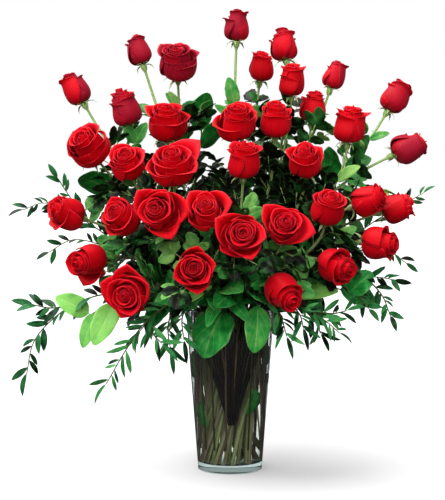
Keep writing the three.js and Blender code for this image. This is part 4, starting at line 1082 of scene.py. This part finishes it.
# For each spray: the way it leaves the vase, its stem's run beyond the rim, how many pairs of leaves it
# carries and from which share of the run on, its side twigs as (where on the run they grow, end point), and
# its leaf.
RUSCUS = {
    "ruscus_left_up": (
        184,
        [
            (-0.100, -0.002, 0.330), (-0.190, 0.012, 0.388), (-0.270, 0.022, 0.440),
            (-0.325, 0.005, 0.462), (-0.356, -0.010, 0.450),
        ],
        12, 0.42, [(0.62, (-0.300, 0.020, 0.505))], SMALL,
    ),
    "ruscus_left_low": (
        220,
        [
            (-0.080, -0.065, 0.303), (-0.150, -0.082, 0.312), (-0.230, -0.078, 0.306),
            (-0.290, -0.075, 0.275), (-0.330, -0.078, 0.230), (-0.342, -0.080, 0.176),
        ],
        12, 0.3, [(0.62, (-0.330, -0.075, 0.292))], OVAL,
    ),
    "ruscus_front_left": (
        240,
        [
            (-0.052, -0.092, 0.300), (-0.098, -0.125, 0.298), (-0.140, -0.138, 0.268),
            (-0.172, -0.134, 0.222), (-0.205, -0.122, 0.165),
        ],
        12, 0.22,
        [
            (0.50, (-0.112, -0.150, 0.236)), (0.24, (-0.076, -0.138, 0.240)), (0.34, (-0.098, -0.132, 0.222)),
            (0.42, (-0.150, -0.125, 0.252)),
        ],
        GRASSY,
    ),
    "ruscus_front_right": (
        305,
        [
            (0.058, -0.090, 0.300), (0.095, -0.128, 0.300), (0.128, -0.146, 0.290),
            (0.155, -0.146, 0.272), (0.178, -0.138, 0.252),
        ],
        11, 0.2,
        [
            (0.50, (0.118, -0.155, 0.262)), (0.28, (0.092, -0.138, 0.246)), (0.60, (0.148, -0.125, 0.250)),
            (0.70, (0.192, -0.115, 0.286)),
        ],
        GRASSY,
    ),
    "ruscus_right_low": (
        350,
        [
            (0.095, -0.022, 0.303), (0.160, -0.032, 0.326), (0.215, -0.050, 0.336),
            (0.250, -0.066, 0.338), (0.276, -0.076, 0.334),
        ],
        12, 0.4, [(0.78, (0.266, -0.100, 0.276)), (0.55, (0.232, -0.085, 0.286))], SMALL,
    ),
    "ruscus_right_up": (
        4,
        [
            (0.110, 0.012, 0.332), (0.200, 0.030, 0.392), (0.272, 0.045, 0.440),
            (0.310, 0.038, 0.462), (0.340, 0.030, 0.480),
        ],
        11, 0.45, [], SMALL,
    ),
    "ruscus_back_left": (
        150,
        [
            (-0.088, 0.062, 0.306), (-0.155, 0.105, 0.345), (-0.225, 0.130, 0.380),
            (-0.290, 0.135, 0.392), (-0.330, 0.130, 0.370),
        ],
        9, 0.3, [], SMALL,
    ),
    "ruscus_back_right": (
        28,
        [
            (0.092, 0.055, 0.306), (0.160, 0.100, 0.345), (0.228, 0.125, 0.372),
            (0.285, 0.130, 0.376), (0.322, 0.125, 0.350),
        ],
        9, 0.3, [], SMALL,
    ),
}


def ruscus_leaves(path, count, first, size):
    """Narrow leaves on both sides of a twig, which lean forward along it, and one that ends it. They stand in
    the plane that faces the FACING way, and roll out of it by turns."""
    i = np.arange(count)
    share = np.where(i == count - 1, 0.995, first + (1 - first) * i / (count - 1))
    root = along_path(path, share)
    along = unit(along_path(path, (share + 0.03).clip(0, 1)) - along_path(path, share - 0.03))
    side = np.where((i // 2 + i) % 2, 1.0, -1.0)[:, None]
    level = unit(np.cross(along, FACING))
    over = np.cross(along, level)
    roll = np.radians(RUSCUS_ROLL * np.sin(1.2 * i))[:, None]
    across = side * (level * np.cos(roll) + over * np.sin(roll))
    spread = np.radians(RUSCUS_SPREAD) * (i < count - 1)[:, None]
    direction = along * np.cos(spread) + across * np.sin(spread)
    length = size[0] * (0.8 + 0.2 * np.cos(0.85 * i))[:, None]
    up = side * np.cross(across, along)
    half = length[:, 0] * size[1]
    return blades(root, root + direction * length, up, half, RUSCUS_OUTLINE, 9, 5, arch=0.10, fold=0.18)


# The ruscus leaf's deep colour is near-black: painted shade.
ruscus_skin = leaf_skin("ruscus leaf", "#010602", "#1e7034", "#5cb45e", "#68ac68", 1, 0.0, 0.45)
ruscus_bark = bark("ruscus stem skin", "#3a3a1a", "#4a5a24", "#5f8a3c")
for name, (exit_angle, run, count, first, twigs, size) in RUSCUS.items():
    foot, path = green_path(exit_angle, run)
    sheets = [ruscus_leaves(path, 2 * count - 1, first, size)]
    stems = [branch(foot, path)]
    for share, end in twigs:
        start = along_path(path, share)
        onward = unit(along_path(path, share + 0.03) - start)
        twig = smooth_path([start, (start + end) / 2 + onward * 0.008, end])
        sheets.append(ruscus_leaves(twig, 9, 0.3, size))
        stems.append(branch(twig[0], twig[1:]))
    piece = make_piece(
        f"{name}_leaves", sheets, ruscus_skin, [size[2] * rng.random(len(s)) for s in sheets],
        LEAF_THICKNESS,
    )
    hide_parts(name)
    make_piece(f"{name}_twigs", stems, ruscus_bark)


# ---------------- the floor, the light and the camera
# A seamless white table under soft studio light: a large lamp above and to the left, which lays a soft shadow
# to the right of the vase, a larger one in front, and a white room all round.

CAMERA_AT = (-0.013, -2.4, 0.5)
CAMERA_AIM = (-0.013, 0.0, 0.3806)
CAMERA_LENS = 100.0  # mm, with 36 mm of sensor along the picture's height
ROOM_LIGHT = 0.36
TABLE_GLOW = 0.08


def looking(place, aim):
    """The rotation that turns an object's -Z axis from its place towards a point, with +Y upwards."""
    return (mathutils.Vector(aim) - mathutils.Vector(place)).to_track_quat("-Z", "Y").to_euler()


def bounces(tree):
    """0 for a ray from the camera that comes straight, or only went through glass or water, and 1 for one
    that has been reflected."""
    path = add(tree, "LightPath").outputs
    depths = {0: path["Diffuse Depth"], 1: path["Glossy Depth"]}
    return add(tree, "Math", depths, operation="ADD", use_clamp=True)


def white_table():
    """White laminate, overexposed as in a studio. Seen straight it also glows a little, painted light that
    lightens the shadows on it. It throws back less light than it shows.
    """
    material, tree, shader = new_material("white table", Roughness=0.8, Emission_Color=(1, 1, 1, 1))
    scattered = bounces(tree)
    white = add(tree, "Mix", {0: scattered, 6: "#e0e0e0", 7: "#202020"}, data_type="RGBA")
    # Painted light: the table glows a little where it is seen straight, which lightens the shadows on it.
    glow = add(tree, "MapRange", {0: scattered, 3: TABLE_GLOW, 4: 0.0})
    connect(shader, {"Base Color": white, "Emission Strength": glow})
    return material


table_mesh = bpy.data.meshes.new("table")
table_mesh.from_pydata([(-60, -60, 0), (60, -60, 0), (60, 60, 0), (-60, 60, 0)], [], [(0, 1, 2, 3)])
table_mesh.materials.append(white_table())
new_object("table", table_mesh)

room = bpy.data.worlds.new("white room")
room.use_nodes = True
# The room is seen white, straight and through the glass, but is dimmer than that where it lights the bouquet
# or shines back from it.
brightness = add(room.node_tree, "MapRange", {0: bounces(room.node_tree), 3: 1.0, 4: ROOM_LIGHT})
connect(room.node_tree.nodes["Background"], {"Color": (1, 1, 1, 1), "Strength": brightness})
bpy.context.scene.world = room

# Each lamp's place from the bouquet, its strength, how wide it looks from there, in degrees, and whether its
# own glint shows. The front one is polarised, so that it doesn't veil the glass.
LAMPS = {
    "key soft box": ((-0.8, 0.15, 2.4), 3.5, 62, True),
    "front soft box": ((-0.5, -2.4, 1.5), 3.3, 80, False),
}
for name, (place, strength, width, glints) in LAMPS.items():
    lamp = bpy.data.lights.new(name, "SUN")
    lamp.energy = strength
    lamp.angle = np.radians(width)
    lamp_object = new_object(name, lamp)
    lamp_object.rotation_euler = looking(place, (0, 0, 0))
    lamp_object.visible_transmission = False
    lamp_object.visible_glossy = glints

camera_data = bpy.data.cameras.new("camera")
camera_data.lens = CAMERA_LENS
camera_data.clip_end = 100
camera = new_object("camera", camera_data)
camera.location = CAMERA_AT
camera.rotation_euler = looking(CAMERA_AT, CAMERA_AIM)
bpy.context.scene.camera = camera
bpy.context.scene.view_settings.view_transform = "Standard"
